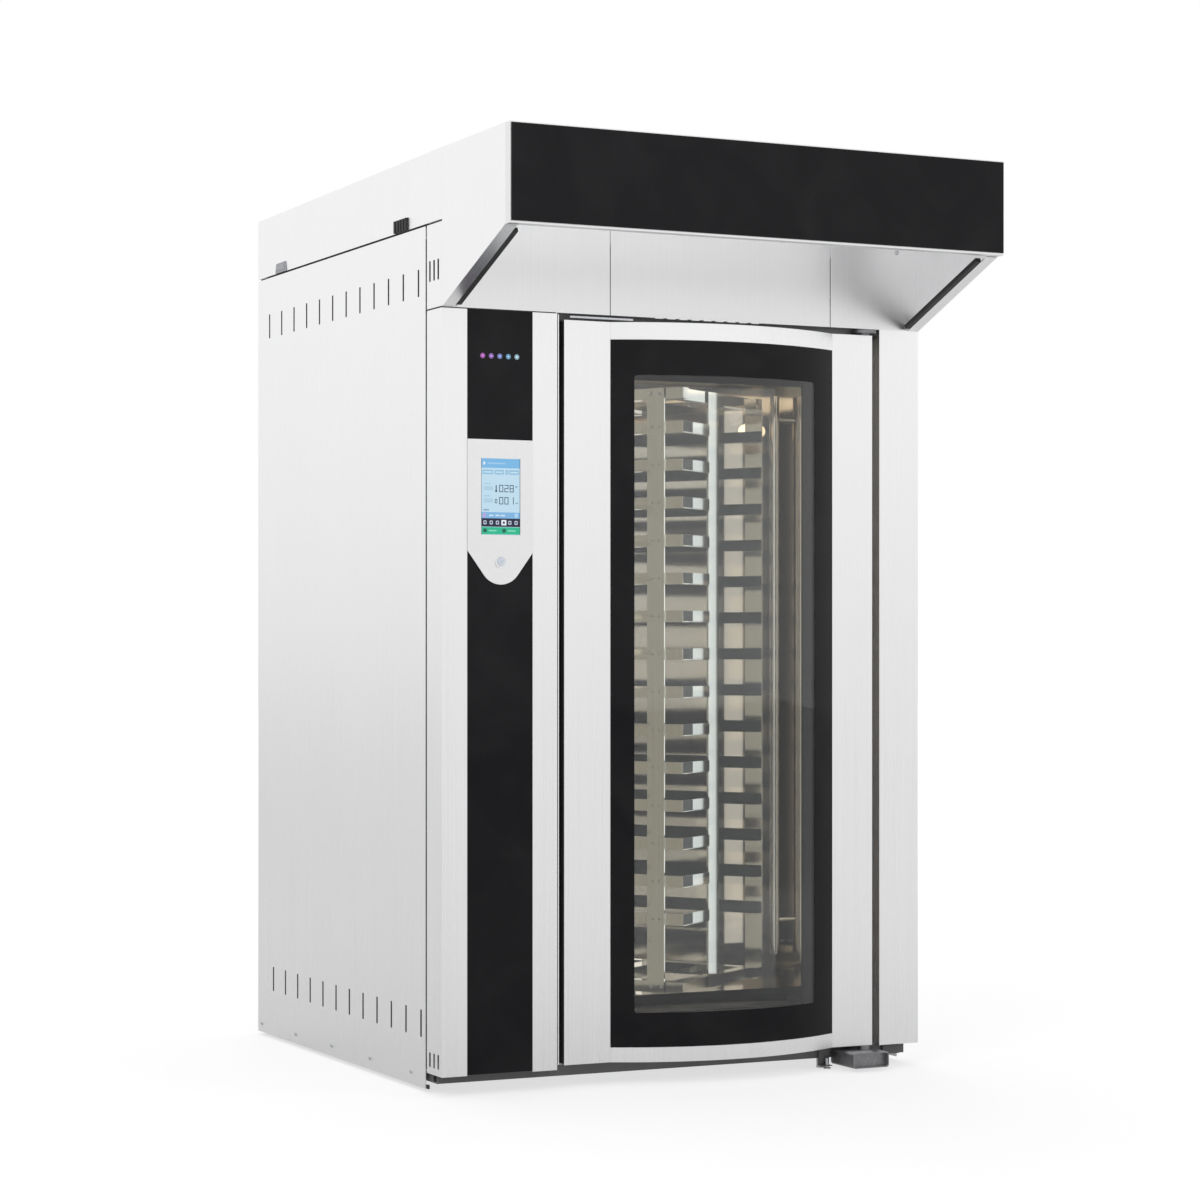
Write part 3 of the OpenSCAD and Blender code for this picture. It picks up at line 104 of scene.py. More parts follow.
def remap(tree, value, low, high, at_low=0.0, at_high=1.0, smooth=False):
    """A number that runs from at_low to at_high while the value runs from low to high."""
    node = shader_node(tree, "MapRange", Value=value, From_Min=low, From_Max=high,
                       To_Min=at_low, To_Max=at_high)
    if smooth:
        node.interpolation_type = "SMOOTHSTEP"
    return node.outputs["Result"]


def mix_colours(tree, factor, low, high, blend="MIX"):
    """A colour from low to high; either may be a colour or another node's output."""
    node = tree.nodes.new("ShaderNodeMix")
    node.data_type = "RGBA"
    node.blend_type = blend
    feed(tree, node.inputs["Factor"], factor)
    feed(tree, node.inputs[6], low)
    feed(tree, node.inputs[7], high)
    return node.outputs[2]


# %% [markdown]
# The camera stands to the left of the oven, at chest height, and looks level.
# Upright edges stay parallel that way, as in a product photograph. Its place was
# worked out from the oven's known width, depth and height. The picture is moved in
# the frame by a small lens shift, because turning the camera would tilt the edges.

# %% Camera
TURNED_RIGHT = 0.4259
camera_data = bpy.data.cameras.new("camera")
camera = bpy.data.objects.new("camera", camera_data)
scene.collection.objects.link(camera)
camera.location = (-3.3467, -6.5283, 1.0444)
camera.rotation_euler = (math.pi / 2, 0, -TURNED_RIGHT)
camera_data.sensor_width = 36
camera_data.lens = 86.53
camera_data.shift_x, camera_data.shift_y = 0.1083, 0.0388
camera_data.clip_end = 100
scene.camera = camera
scene.view_settings.view_transform = "Standard"
print("camera at", tuple(round(v, 3) for v in camera.location))

# %% [markdown]
# A studio is a pale floor, a white surround and a few large soft lamps. Steel has
# no colour of its own: it shows what stands round it. So the world is white where
# the camera or a pane looks at it, and a plain grey where it only lights. A mirror
# sees it white above and in front, and a little greyer low down and behind, as in a
# real studio, which gives the tall sheets their soft fade towards the floor.

# %% World
AMBIENT = 0.62
WHITE = (1.0, 1.0, 1.0)
world = bpy.data.worlds.new("studio")
scene.world = world
world.use_nodes = True
sky = world.node_tree
sky.nodes.clear()
rays = shader_node(sky, "LightPath").outputs
towards = shader_node(sky, "TexCoord").outputs["Object"]
way = shader_node(sky, "SeparateXYZ", Vector=towards).outputs
seen = maths(sky, "MAXIMUM", rays["Is Camera Ray"], rays["Is Glossy Ray"])
seen = maths(sky, "MAXIMUM", seen, rays["Is Transmission Ray"])
rise = remap(sky, way["Z"], -0.06, 0.16, 0.88, 1.0, smooth=True)
turned_back = remap(sky, way["Y"], -0.9, 0.9, 1.0, 0.95, smooth=True)
mirrored = maths(sky, "MULTIPLY", rise, turned_back)
back = shader_node(sky, "Background", Strength=remap(sky, seen, 0.0, 1.0, AMBIENT, 1.0),
                   Color=mix_colours(sky, rays["Is Glossy Ray"], WHITE, mirrored))
shader_node(sky, "OutputWorld", Surface=back.outputs[0])
print("world of", len(sky.nodes), "nodes")

# %% [markdown]
# The floor is pale and fades to the white of the surround, so no horizon shows. It
# gets darker under the oven by real shadow. Its own glow is weaker near the oven,
# and weaker still where steel mirrors it, which gives the lower sheets a softer,
# greyer reflection than the upper ones.

# %% Floor
REACH, BELOW_FEET = 40.0, -0.0005
floor_mesh = bpy.data.meshes.new("studio_floor")
floor_mesh.from_pydata([(x * REACH, y * REACH, BELOW_FEET)
                        for x, y in ((-1, -1), (1, -1), (1, 1), (-1, 1))], [], [(0, 1, 2, 3)])
floor = bpy.data.objects.new("studio_floor", floor_mesh)
scene.collection.objects.link(floor)
floor_paint = bpy.data.materials.new("studio_floor")
floor_paint.use_nodes = True
paint = floor_paint.node_tree
paint.nodes.clear()
spot = shader_node(paint, "TexCoord").outputs["Object"]
distance = operate(paint, "VectorMath", "LENGTH", spot)["Value"]
level = shader_node(paint, "Mix")
feed(paint, level.inputs["Factor"], shader_node(paint, "LightPath").outputs["Is Glossy Ray"])
feed(paint, level.inputs[2], remap(paint, distance, 1.5, 9.0, 0.66, 1.0, smooth=True))
feed(paint, level.inputs[3], remap(paint, distance, 0.8, 6.0, 0.26, 0.40, smooth=True))
matt = shader_node(paint, "BsdfDiffuse", Color=(0.34, 0.34, 0.34))
glow = shader_node(paint, "Emission", Strength=level.outputs[0])
both = paint.nodes.new("ShaderNodeAddShader")
paint.links.new(matt.outputs[0], both.inputs[0])
paint.links.new(glow.outputs[0], both.inputs[1])
shader_node(paint, "OutputMaterial", Surface=both.outputs[0])
floor_mesh.materials.append(floor_paint)
print("floor", 2 * REACH, "m square")


# %% [markdown]
# Four soft lamps light the oven from the front left, the front right, above and
# behind. They are large, so their shadows are soft, and steel doesn't mirror them:
# it would show each as a hard white square.

# %% Lamps
def soft_lamp(name, place, aim, size, watts, colour=WHITE, mirrored=False):
    """A soft lamp that faces a point. Steel and glass show it only where it is mirrored."""
    data = bpy.data.lights.new(name, "AREA")
    data.shape = "RECTANGLE"
    data.size, data.size_y = size
    data.energy = watts
    data.color = colour
    lamp = bpy.data.objects.new(name, data)
    scene.collection.objects.link(lamp)
    lamp.location = place
    lamp.rotation_euler = (Vector(aim) - Vector(place)).to_track_quat("-Z", "Y").to_euler()
    lamp.visible_glossy = mirrored
    lamp.visible_camera = False
    lamp.visible_transmission = False


soft_lamp("key", (-3.6, -3.4, 3.4), (0, 0, 1.2), (2.6, 2.6), 95)
soft_lamp("fill", (3.8, -4.2, 2.2), (0, 0, 1.0), (2.4, 3.0), 60)
soft_lamp("top", (0, 0.2, 4.6), (0, 0, 1), (3, 3), 60)
soft_lamp("rear", (1.5, 4.5, 3.0), (0, 0.5, 1.1), (3, 2), 50)
print("lamps:", len(bpy.data.lights))

# %% [markdown]
# Every finish below is a Principled shader with a few small patterns behind it.
# Patterns that several finishes share are shader groups, made once: fine satin
# lines, the soft marks that hands and cloths leave, the pebbled skin of paint, and
# dust that settles on what faces up. Each finish gives the group its own numbers.

# %% Shader groups
def start_group(name, kind, takes, gives):
    """An empty node group with named inputs and outputs, and the sockets of its two ends."""
    group = bpy.data.node_groups.new(name, kind)
    for label, type_name, value in takes:
        socket = group.interface.new_socket(
            name=label, in_out="INPUT", socket_type="NodeSocket" + type_name)
        if value is not None:
            socket.default_value = value
    for label, type_name in gives:
        group.interface.new_socket(
            name=label, in_out="OUTPUT", socket_type="NodeSocket" + type_name)
    ends = group.nodes.new("NodeGroupInput"), group.nodes.new("NodeGroupOutput")
    return group, ends[0].outputs, ends[1].inputs


def noise(tree, vector, scale, detail, distortion=0.0):
    """The strength of a cloudy noise."""
    return shader_node(tree, "TexNoise", Vector=vector, Scale=scale, Detail=detail,
                       Distortion=distortion).outputs["Fac"]


def make_satin_lines():
    group, takes, gives = start_group(
        "satin_lines", "ShaderNodeTree",
        [("Vector", "Vector", None), ("Across", "Vector", (60, 60, 1))], [("Lines", "Float")])
    stretched = operate(group, "VectorMath", "MULTIPLY", takes["Vector"], takes["Across"])["Vector"]
    fine = noise(group, stretched, 1.0, 7.0)
    feed(group, gives["Lines"], remap(group, fine, 0.3, 0.7))
    return group


def make_handled():
    group, takes, gives = start_group(
        "handled", "ShaderNodeTree",
        [("Vector", "Vector", None), ("Size", "Float", 3.0)], [("Marks", "Float")])
    cloud = noise(group, takes["Vector"], takes["Size"], 4.0, 0.8)
    feed(group, gives["Marks"], remap(group, cloud, 0.4, 0.75))
    return group


def make_pebbled():
    group, takes, gives = start_group(
        "pebbled", "ShaderNodeTree", [("Vector", "Vector", None), ("Size", "Float", 400.0)],
        [("Height", "Float"), ("Shade", "Float")])
    bumps = shader_node(group, "TexVoronoi", Vector=takes["Vector"], Scale=takes["Size"])
    bumps.feature = "SMOOTH_F1"
    slow = noise(group, takes["Vector"], 22.0, 5.0)
    feed(group, gives["Height"], bumps.outputs["Distance"])
    feed(group, gives["Shade"], remap(group, slow, 0.35, 0.7))
    return group


def make_settled_dust():
    group, takes, gives = start_group(
        "settled_dust", "ShaderNodeTree",
        [("Vector", "Vector", None), ("Normal", "Vector", None)], [("Amount", "Float")])
    up = shader_node(group, "SeparateXYZ", Vector=takes["Normal"]).outputs["Z"]
    patches = noise(group, takes["Vector"], 9.0, 6.0)
    amount = maths(group, "MULTIPLY", remap(group, up, 0.6, 1.0), remap(group, patches, 0.3, 0.8))
    feed(group, gives["Amount"], amount)
    return group


satin_lines, handled = make_satin_lines(), make_handled()
pebbled, settled_dust = make_pebbled(), make_settled_dust()
print("shader groups:", [g.name for g in bpy.data.node_groups])

# %% [markdown]
# One small class builds a material. Numbers that are the same all over a surface go
# straight on the shader's own sockets. Patterns read the object's own coordinates,
# in metres, so they keep their scale and stay put when a part moves.

# %% Finish builder
finishes = {}


class Finish:
    """One material: a Principled shader, and calls that put a pattern behind a socket."""

    def __init__(self, name, metallic=0.0, **plain):
        finishes[name] = bpy.data.materials.new(name)
        finishes[name].use_nodes = True
        self.tree = finishes[name].node_tree
        self.shader = self.tree.nodes["Principled BSDF"]
        self.shader.inputs["Metallic"].default_value = metallic
        for socket, value in plain.items():
            self.shader.inputs[socket.replace("_", " ")].default_value = value
        self.where = shader_node(self.tree, "TexCoord").outputs["Object"]

    def use(self, group, **values):
        """A pattern group in this material, with its own values; gives its outputs."""
        node = self.tree.nodes.new("ShaderNodeGroup")
        node.node_tree = group
        self.tree.links.new(self.where, node.inputs["Vector"])
        for label, value in values.items():
            feed(self.tree, node.inputs[label], value)
        return node.outputs

    def between(self, factor, low, high):
        """A number that runs from low to high as the factor runs from 0 to 1."""
        return remap(self.tree, factor, 0.0, 1.0, low, high)

    def colours(self, factor, low, high, amount=1.0):
        """A colour from low towards high; amount is how far it gets at most."""
        if amount != 1.0:
            factor = self.between(factor, 0.0, amount)
        return mix_colours(self.tree, factor, low, high)

    def set(self, socket, value):
        self.tree.links.new(value, self.shader.inputs[socket])

    def bump(self, height, depth, strength):
        """Relief of a depth in metres."""
        node = shader_node(self.tree, "Bump", Distance=depth, Strength=strength, Height=height)
        self.set("Normal", node.outputs["Normal"])

    def dust(self):
        facing = shader_node(self.tree, "NewGeometry").outputs["Normal"]
        return self.use(settled_dust, Normal=facing)["Amount"]


print("finish builder ready")


# %% [markdown]
# Rolled stainless is made with a fine belt, which leaves lines one way only. They
# run up and down on the oven's sheets. The lines vary the gloss more than the
# colour. A stretched noise gives them, with faint cloudy marks from cleaning. In
# the chamber the marks are brown, as baking leaves them.

# %% Steel finishes
def steel(name, light, dark, gloss, across, depth=0.00004, stain=None, stain_size=3.0,
          stain_share=0.06):
    """A metal with fine lines. across is how many lines a metre holds each way."""
    f = Finish(name, 1.0)
    lines = f.use(satin_lines, Across=across)["Lines"]
    marks = f.use(handled, Size=stain_size)["Marks"]
    stain = stain or tuple(0.8 * v for v in light)
    f.set("Base Color", f.colours(marks, f.colours(lines, dark, light), stain, stain_share))
    f.set("Roughness", f.between(lines, *gloss))
    f.bump(lines, depth, 0.5)


UPRIGHT, LEVEL = (420.0, 420.0, 1.6), (1.6, 420.0, 420.0)
EVEN, SPANGLE = (120.0, 120.0, 120.0), (14.0, 14.0, 14.0)
steel("outer_steel", (0.97, 0.97, 0.975), (0.94, 0.94, 0.945), (0.26, 0.34), UPRIGHT, 0.00001)
steel("hood_steel", (0.88, 0.88, 0.885), (0.84, 0.84, 0.845), (0.28, 0.36), UPRIGHT, 0.00001)
steel("chamber_steel", (0.80, 0.76, 0.70), (0.74, 0.69, 0.62), (0.03, 0.08), UPRIGHT, 0.000002,
      stain=(0.62, 0.50, 0.36), stain_size=1.8, stain_share=0.35)
steel("rack_steel", (0.84, 0.82, 0.77), (0.78, 0.76, 0.71), (0.04, 0.09), UPRIGHT, 0.000002)
steel("duct_steel", (0.30, 0.28, 0.25), (0.20, 0.19, 0.17), (0.25, 0.4), UPRIGHT, 0.00001)
steel("hinge_steel", (0.34, 0.34, 0.35), (0.24, 0.24, 0.25), (0.38, 0.52), EVEN)
steel("galvanised", (0.60, 0.62, 0.64), (0.50, 0.52, 0.54), (0.38, 0.55), SPANGLE)
steel("zinc_steel", (0.66, 0.67, 0.69), (0.56, 0.57, 0.60), (0.20, 0.32), EVEN)
steel("element_steel", (0.18, 0.16, 0.15), (0.10, 0.09, 0.09), (0.5, 0.7), EVEN)
steel("cast_grey", (0.30, 0.30, 0.31), (0.22, 0.22, 0.23), (0.42, 0.6), EVEN, 0.0002)
steel("brass_fitting", (0.76, 0.58, 0.28), (0.62, 0.46, 0.2), (0.2, 0.34), EVEN)
steel("bezel_silver", (0.93, 0.93, 0.94), (0.90, 0.90, 0.91), (0.34, 0.40), EVEN)
print("steels:", len(finishes))

# %% [markdown]
# The rack's rails stand in two ladders. Through the window the near one shows pale
# bands and the far one very dark bands. The far ladder's dark colour is a painted
# reflection: it stands in for the dark region those rails mirror. Both are one solid
# in the drawing, so one finish serves both, and a mask tells them apart: it measures
# each point across the rack and switches the colour and the gloss where the far
# ladder starts.

# %% Finish of the rack's rails
ACROSS_RACK = (0.839, 0.545, 0)
FAR_LADDER_FROM = 0.301
rail = Finish("rail_steel", 1.0)
lines = rail.use(satin_lines, Across=LEVEL)["Lines"]
across = operate(rail.tree, "VectorMath", "DOT_PRODUCT", rail.where, ACROSS_RACK)["Value"]
is_far = maths(rail.tree, "GREATER_THAN", across, FAR_LADDER_FROM)
pale = rail.colours(lines, (0.74, 0.70, 0.62), (0.84, 0.80, 0.72))
# Painted reflection: the far ladder's very dark colour stands in for the dark region it mirrors.
painted_dark_reflection = rail.colours(lines, (0.020, 0.027, 0.030), (0.032, 0.040, 0.043))
rail.set("Base Color", rail.colours(is_far, pale, painted_dark_reflection))
rail.set("Roughness", rail.between(is_far, 0.06, 0.24))
rail.bump(lines, 0.000002, 0.5)
print("rails turn dark", FAR_LADDER_FROM, "m across the rack")


# %% [markdown]
# Paint, rubber, wool and card have a pebbled skin, in their own sizes, and gather
# dust where they face up. The pebbles are relief only. A slower noise varies the
# colour and the gloss a little, because no coat is quite even.

# %% Paint, rubber and wool
DUST = (0.42, 0.40, 0.37)


def coated(name, colour, rough, pebbles, depth):
    """A coat. pebbles is how many of them a metre holds, depth is their height in metres."""
    f = Finish(name)
    skin = f.use(pebbled, Size=pebbles)
    shaded = f.colours(skin["Shade"], tuple(0.82 * v for v in colour), colour)
    f.set("Base Color", f.colours(f.dust(), shaded, DUST, 0.35))
    f.set("Roughness", f.between(skin["Shade"], rough - 0.06, rough + 0.06))
    f.bump(skin["Height"], depth, 0.6)


coated("dark_paint", (0.09, 0.09, 0.093), 0.42, 500.0, 0.0001)
coated("grey_paint", (0.40, 0.41, 0.43), 0.4, 500.0, 0.0001)
coated("blue_paint", (0.07, 0.16, 0.32), 0.34, 420.0, 0.0001)
coated("black_rubber", (0.02, 0.02, 0.02), 0.62, 900.0, 0.0001)
coated("grip_grey", (0.30, 0.31, 0.33), 0.36, 800.0, 0.00005)
coated("mineral_wool", (0.62, 0.56, 0.38), 0.95, 150.0, 0.002)
coated("black_card", (0.012, 0.012, 0.012), 0.8, 500.0, 0.0001)
print("finishes with the coats:", len(finishes))


# %% [markdown]
# Black glass is clear glass with black enamel behind it, so it's a dark, smooth
# surface with a weak reflection. The screen's glass and the button's enamel are
# made the same way. Faint smears from fingers make the gloss uneven.

# %% Dark glass, screen and button
def glossy(name, colour, rough, shine):
    """A smooth dark surface, a little duller where fingers touched it."""
    f = Finish(name, Specular_IOR_Level=shine)
    smear = f.use(handled, Size=6.0)["Marks"]
    f.set("Base Color", f.colours(smear, colour, tuple(v + 0.004 for v in colour)))
    f.set("Roughness", f.between(smear, rough, rough + 0.05))


glossy("black_glass", (0.005, 0.005, 0.006), 0.03, 0.14)
glossy("frit", (0.004, 0.004, 0.004), 0.4, 0.1)
glossy("screen", (0.01, 0.012, 0.014), 0.05, 0.3)
glossy("button_blue", (0.42, 0.50, 0.60), 0.2, 0.5)
print("finishes with the dark glass:", len(finishes))


# %% [markdown]
# The door's panes are clear. A lamp's rays would be bent by real glass and leave a
# dark chamber behind it, so for shadows only, the pane is a plain see-through sheet
# with the same tint.

# %% Clear glass
def pane(name, tint, shine):
    """Clear glass that lets a lamp's rays pass straight."""
    f = Finish(name, Transmission_Weight=1.0, IOR=1.46, Specular_IOR_Level=shine)
    smear = f.use(handled, Size=4.0)["Marks"]
    f.set("Base Color", f.colours(smear, tint, tuple(0.97 * v for v in tint)))
    f.set("Roughness", f.between(smear, 0.0, 0.01))
    clear = shader_node(f.tree, "BsdfTransparent", Color=tint)
    mix = shader_node(f.tree, "MixShader",
                      Fac=shader_node(f.tree, "LightPath").outputs["Is Shadow Ray"])
    f.tree.links.new(f.shader.outputs[0], mix.inputs[1])
    f.tree.links.new(clear.outputs[0], mix.inputs[2])
    f.tree.links.new(mix.outputs[0], f.tree.nodes["Material Output"].inputs["Surface"])


pane("door_glass", (0.93, 0.945, 0.94), 0.07)
pane("clear_glass", (0.95, 0.965, 0.96), 0.07)
print("finishes with the panes:", len(finishes))

# %% [markdown]
# The chamber's lamp is a frosted glass dome that glows. Its glow is a little more
# orange where the frost is thick, so it doesn't look like a plain white disc.

# %% Lamp glass
dome = Finish("lamp_glass", Emission_Strength=1.6)
frost = dome.use(handled, Size=60.0)["Marks"]
dome.set("Base Color", dome.colours(frost, (0.95, 0.92, 0.82), (0.85, 0.8, 0.7)))
dome.set("Roughness", dome.between(frost, 0.25, 0.4))
dome.set("Emission Color", dome.colours(frost, (1.0, 0.82, 0.55), (1.0, 0.74, 0.45)))
print("finishes:", len(finishes))

# %% [markdown]
# The record that comes with the frame names a finish for each solid. Two solids
# share a slot with others but get a finish of their own: the slotted panel that the
# air comes through takes the dark duct steel, a painted shade that stands in for the
# shadow it lies in, and the rack's rails take the finish that paints a dark
# reflection on their far ladder.

# %% Finishes onto the drawn solids
# Painted shade: the air panel takes the dark duct steel to stand in for the shadow it lies in.
OTHER_FINISH = {"air_panel": "duct_steel", "rack_rails": "rail_steel"}
for name, solid in nodes.items():
    solid.data.materials.clear()
    solid.data.materials.append(finishes[OTHER_FINISH.get(name, slot_of[name])])
print("dressed", len(nodes), "solids")

# %% [markdown]
# The pieces that follow are built from closed solids in millimetres: boxes,
# outlines pushed along an axis and profiles turned round an axis. One small class
# collects them and makes a mesh, so that each piece is one object at the origin
# with its place in its mesh. Small round edges catch the light, as on real sheet.

# %% Solids in millimetres
AXES = {"x": (1, 2, 0), "y": (2, 0, 1), "z": (0, 1, 2)}


class Solids:
    """Closed solids, collected in millimetres, which become one piece."""

    def __init__(self):
        self.points, self.faces, self.inks = [], [], []

    def add(self, points, faces, ink=None):
        start = len(self.points)
        self.points += [tuple(p) for p in points]
        self.faces += [tuple(start + i for i in face) for face in faces]
        self.inks += [ink or WHITE] * len(faces)
        return self

    def box(self, low, high, ink=None):
        points = [(x, y, z) for z in (low[2], high[2])
                  for y in (low[1], high[1]) for x in (low[0], high[0])]
        faces = [(0, 2, 3, 1), (4, 5, 7, 6), (0, 1, 5, 4), (2, 6, 7, 3), (0, 4, 6, 2), (1, 3, 7, 5)]
        return self.add(points, faces, ink)

    def pushed(self, outline, axis, low, high, ink=None):
        """An outline of pairs pushed along an axis.

        The pairs hold the two directions that follow the axis in x, y, z, x, y."""
        a, b, c = AXES[axis]
        points = []
        for level in (low, high):
            for u, v in outline:
                p = [0, 0, 0]
                p[a], p[b], p[c] = u, v, level
                points.append(p)
        n = len(outline)
        faces = [tuple(range(n))[::-1], tuple(range(n, 2 * n))]
        faces += [(i, (i + 1) % n, n + (i + 1) % n, n + i) for i in range(n)]
        return self.add(points, faces, ink)

    def turned(self, profile, centre, axis, sides, ink=None):
        """A profile of (radius, height) pairs turned round an axis through a point.

        A profile that ends where it starts makes a ring; any other gets two flat ends."""
        a, b, c = AXES[axis]
        points, faces = [], []
        for radius, height in profile:
            for i in range(sides):
                p = list(centre)
                p[a] += radius * math.cos(2 * math.pi * i / sides)
                p[b] += radius * math.sin(2 * math.pi * i / sides)
                p[c] += height
                points.append(p)
        for k in range(len(profile) - 1):
            for i in range(sides):
                j = (i + 1) % sides
                here, above = k * sides, (k + 1) * sides
                faces.append((here + i, here + j, above + j, above + i))
        last = (len(profile) - 1) * sides
        if profile[0] == profile[-1]:
            faces = [tuple(i % last for i in face) for face in faces]
            points = points[:last]
        else:
            faces += [tuple(range(sides))[::-1], tuple(range(last, last + sides))]
        return self.add(points, faces, ink)


def shade_smooth(mesh, sharp_from):
    """Outward faces, smooth but for edges sharper than an angle in degrees."""
    b = bmesh.new()
    b.from_mesh(mesh)
    bmesh.ops.recalc_face_normals(b, faces=b.faces)
    b.to_mesh(mesh)
    b.free()
    mesh.polygons.foreach_set("use_smooth", [True] * len(mesh.polygons))
    mesh.set_sharp_from_angle(angle=math.radians(sharp_from))


def place(obj, body, slot):
    """Puts a finished object on its body. The slot is not used."""
    scene.collection.objects.link(obj)
    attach(obj, body)
    return obj


def piece(name, solids, finish, body="casing", slot=None, edge=0.4, inks=False):
    """One object from collected solids, with small round edges of a width in millimetres."""
    mesh = bpy.data.meshes.new(name)
    mesh.from_pydata([tuple(v * MM for v in p) for p in solids.points], [], solids.faces)
    if inks:
        colours = mesh.color_attributes.new("ink", "FLOAT_COLOR", "CORNER")
        for polygon, ink in zip(mesh.polygons, solids.inks):
            for corner in polygon.loop_indices:
                colours.data[corner].color = (*ink, 1)
    shade_smooth(mesh, 32)
    mesh.materials.append(finishes[finish])
    obj = bpy.data.objects.new(name, mesh)
    if edge:
        round_over = obj.modifiers.new("round_edges", "BEVEL")
        round_over.width = edge * MM
        round_over.segments = 2
        round_over.limit_method = "ANGLE"
        round_over.angle_limit = math.radians(40)
        round_over.harden_normals = True
    return place(obj, body, slot or finish)


def rounded(low_a, low_b, high_a, high_b, radius, steps=6):
    """A rectangle's outline with round corners."""
    outline = []
    ends = (high_a, high_b), (low_a, high_b), (low_a, low_b), (high_a, low_b)
    for corner, (a, b) in enumerate(ends):
        mid_a = a - radius if a == high_a else a + radius
        mid_b = b - radius if b == high_b else b + radius
        for i in range(steps + 1):
            turn = math.radians(90 * corner + 90 * i / steps)
            outline.append((mid_a + radius * math.cos(turn), mid_b + radius * math.sin(turn)))
    return outline


print("tools ready")

# %% [markdown]
# The door's outer pane is a shallow arc seen from above. Its radius follows from
# its width and how far its middle stands out, which the drawn pane gives. Pieces
# that lie on the glass are laid out flat and then moved onto this arc.

# %% The pane's curve
glass_low, glass_high = corners("door_outer_glass")
CHORD_Y, HALF_CHORD = -427.0, 307.0
bulge = CHORD_Y - glass_low.y
arc_r = HALF_CHORD ** 2 / (2 * bulge) + bulge / 2
arc_x = (glass_low.x + glass_high.x) / 2
arc_y = glass_low.y + arc_r
print("outer pane: radius %.1f, middle x %.1f, bulge %.1f" % (arc_r, arc_x, bulge))


def on_arc(x, depth):
    """The point of the pane's curve above x, a given depth behind its front face."""
    turn = math.asin((x - arc_x) / arc_r)
    r = arc_r - depth
    return arc_x + r * math.sin(turn), arc_y - r * math.cos(turn)


# %% [markdown]
# The outer pane has a black enamel border, which hides the frame behind it. A frame
# with a window in it can't be one four-sided sheet, so it's laid out in rings: the
# innermost follows the window with its round corners, the outermost the edge of the
# pane, and each point is then moved onto the curve of the glass. It lies on the
# front face, because a layer behind clear glass would look milky.

# %% Printed border of the door glass
CORNER_STEPS, EDGE_STEPS, LAYERS = 8, 24, 4


def frame_ring(box, radius):
    """Points round a rectangle with round corners, as many for each box."""
    x0, z0, x1, z1 = box
    r = max(radius, 0.01)
    mids = ((x1 - r, z1 - r, 0), (x0 + r, z1 - r, 90), (x0 + r, z0 + r, 180), (x1 - r, z0 + r, 270))
    points = []
    for k, (mx, mz, start) in enumerate(mids):
        for i in range(CORNER_STEPS + 1):
            turn = math.radians(start + 90 * i / CORNER_STEPS)
            points.append((mx + r * math.cos(turn), mz + r * math.sin(turn)))
        nx, nz, _ = mids[(k + 1) % 4]
        end_turn = math.radians(start + 90)
        a = points[-1]
        b = (nx + r * math.cos(end_turn), nz + r * math.sin(end_turn))
        points += [(a[0] + (b[0] - a[0]) * i / EDGE_STEPS, a[1] + (b[1] - a[1]) * i / EDGE_STEPS)
                   for i in range(1, EDGE_STEPS)]
    return points


def curved_frame(outer, hole, corner, depth, thick):
    """A curved plate with a round-cornered hole. outer and hole are (x0, z0, x1, z1)."""
    inner, outside = frame_ring(hole, corner), frame_ring(outer, 0.0)
    rings = [[(p[0] + (q[0] - p[0]) * k / LAYERS, p[1] + (q[1] - p[1]) * k / LAYERS)
              for p, q in zip(inner, outside)] for k in range(LAYERS + 1)]
    n = len(inner)
    points, faces = [], []
    for level in (depth, depth + thick):
        for line in rings:
            points += [(*on_arc(x, level), z) for x, z in line]
    side = (LAYERS + 1) * n
    for k in range(LAYERS):
        for i in range(n):
            j = (i + 1) % n
            quad = (k * n + i, k * n + j, (k + 1) * n + j, (k + 1) * n + i)
            faces += [quad, tuple(side + v for v in quad[::-1])]
    for k in (0, LAYERS):
        for i in range(n):
            j = (i + 1) % n
            faces.append((k * n + i, k * n + j, side + k * n + j, side + k * n + i))
    return Solids().add(points, faces)


WINDOW, WINDOW_CORNER = (-161, 174, 331, 1690), 7
to_edge = (glass_low.x + 1, glass_low.z + 1, glass_high.x - 1, glass_high.z - 1)
border = curved_frame(to_edge, WINDOW, WINDOW_CORNER, -0.45, 0.4)
piece("glass_border", border, "black_glass", "door", "black_glass", edge=0)
print("border of", len(border.faces), "faces")

# %% [markdown]
# Behind the border, four dark folded sheets run from the outer pane back to the
# inner one. They close the space between the panes, as on a real oven door, so
# that nothing of the stiles' insides shows from any side. The inner pane has a
# dull black border of its own, flat, in four strips.

# %% Dark reveal between the panes
PANE_T, CARD_T = 6.0, 14
inner_low, inner_high = corners("door_inner_glass")
reveal_back = inner_low.y - 0.6
reveal = Solids()
for x in (-190, 352):
    reveal.box((x, on_arc(x, PANE_T + 1.2)[1] + 6, 100), (x + CARD_T, reveal_back, 1775))
for z in (150, 1712):
    outline = [on_arc(x, PANE_T + 1.5) for x in range(-170, 351, 20)]
    outline += [(350, reveal_back), (-170, reveal_back)]
    reveal.pushed(outline, "z", z, z + 8)
piece("pane_reveal", reveal, "black_card", "door", "black_rubber", edge=0)

inner_border = Solids()
near_y, back_y = inner_low.y - 0.45, inner_low.y - 0.05
wx0, wz0, wx1, wz1 = -140, 204, 350, 1686
for x0, z0, x1, z1 in ((inner_low.x, inner_low.z, wx0, inner_high.z),
                       (wx1, inner_low.z, inner_high.x, inner_high.z),
                       (wx0 + 0.01, inner_low.z, wx1 - 0.01, wz0),
                       (wx0 + 0.01, wz1, wx1 - 0.01, inner_high.z)):
    inner_border.box((x0, near_y, z0), (x1, back_y, z1))
piece("inner_pane_border", inner_border, "frit", "door", "black_glass", edge=0)
print("reveal from y", round(on_arc(arc_x, PANE_T)[1], 1), "to", round(reveal_back, 1))

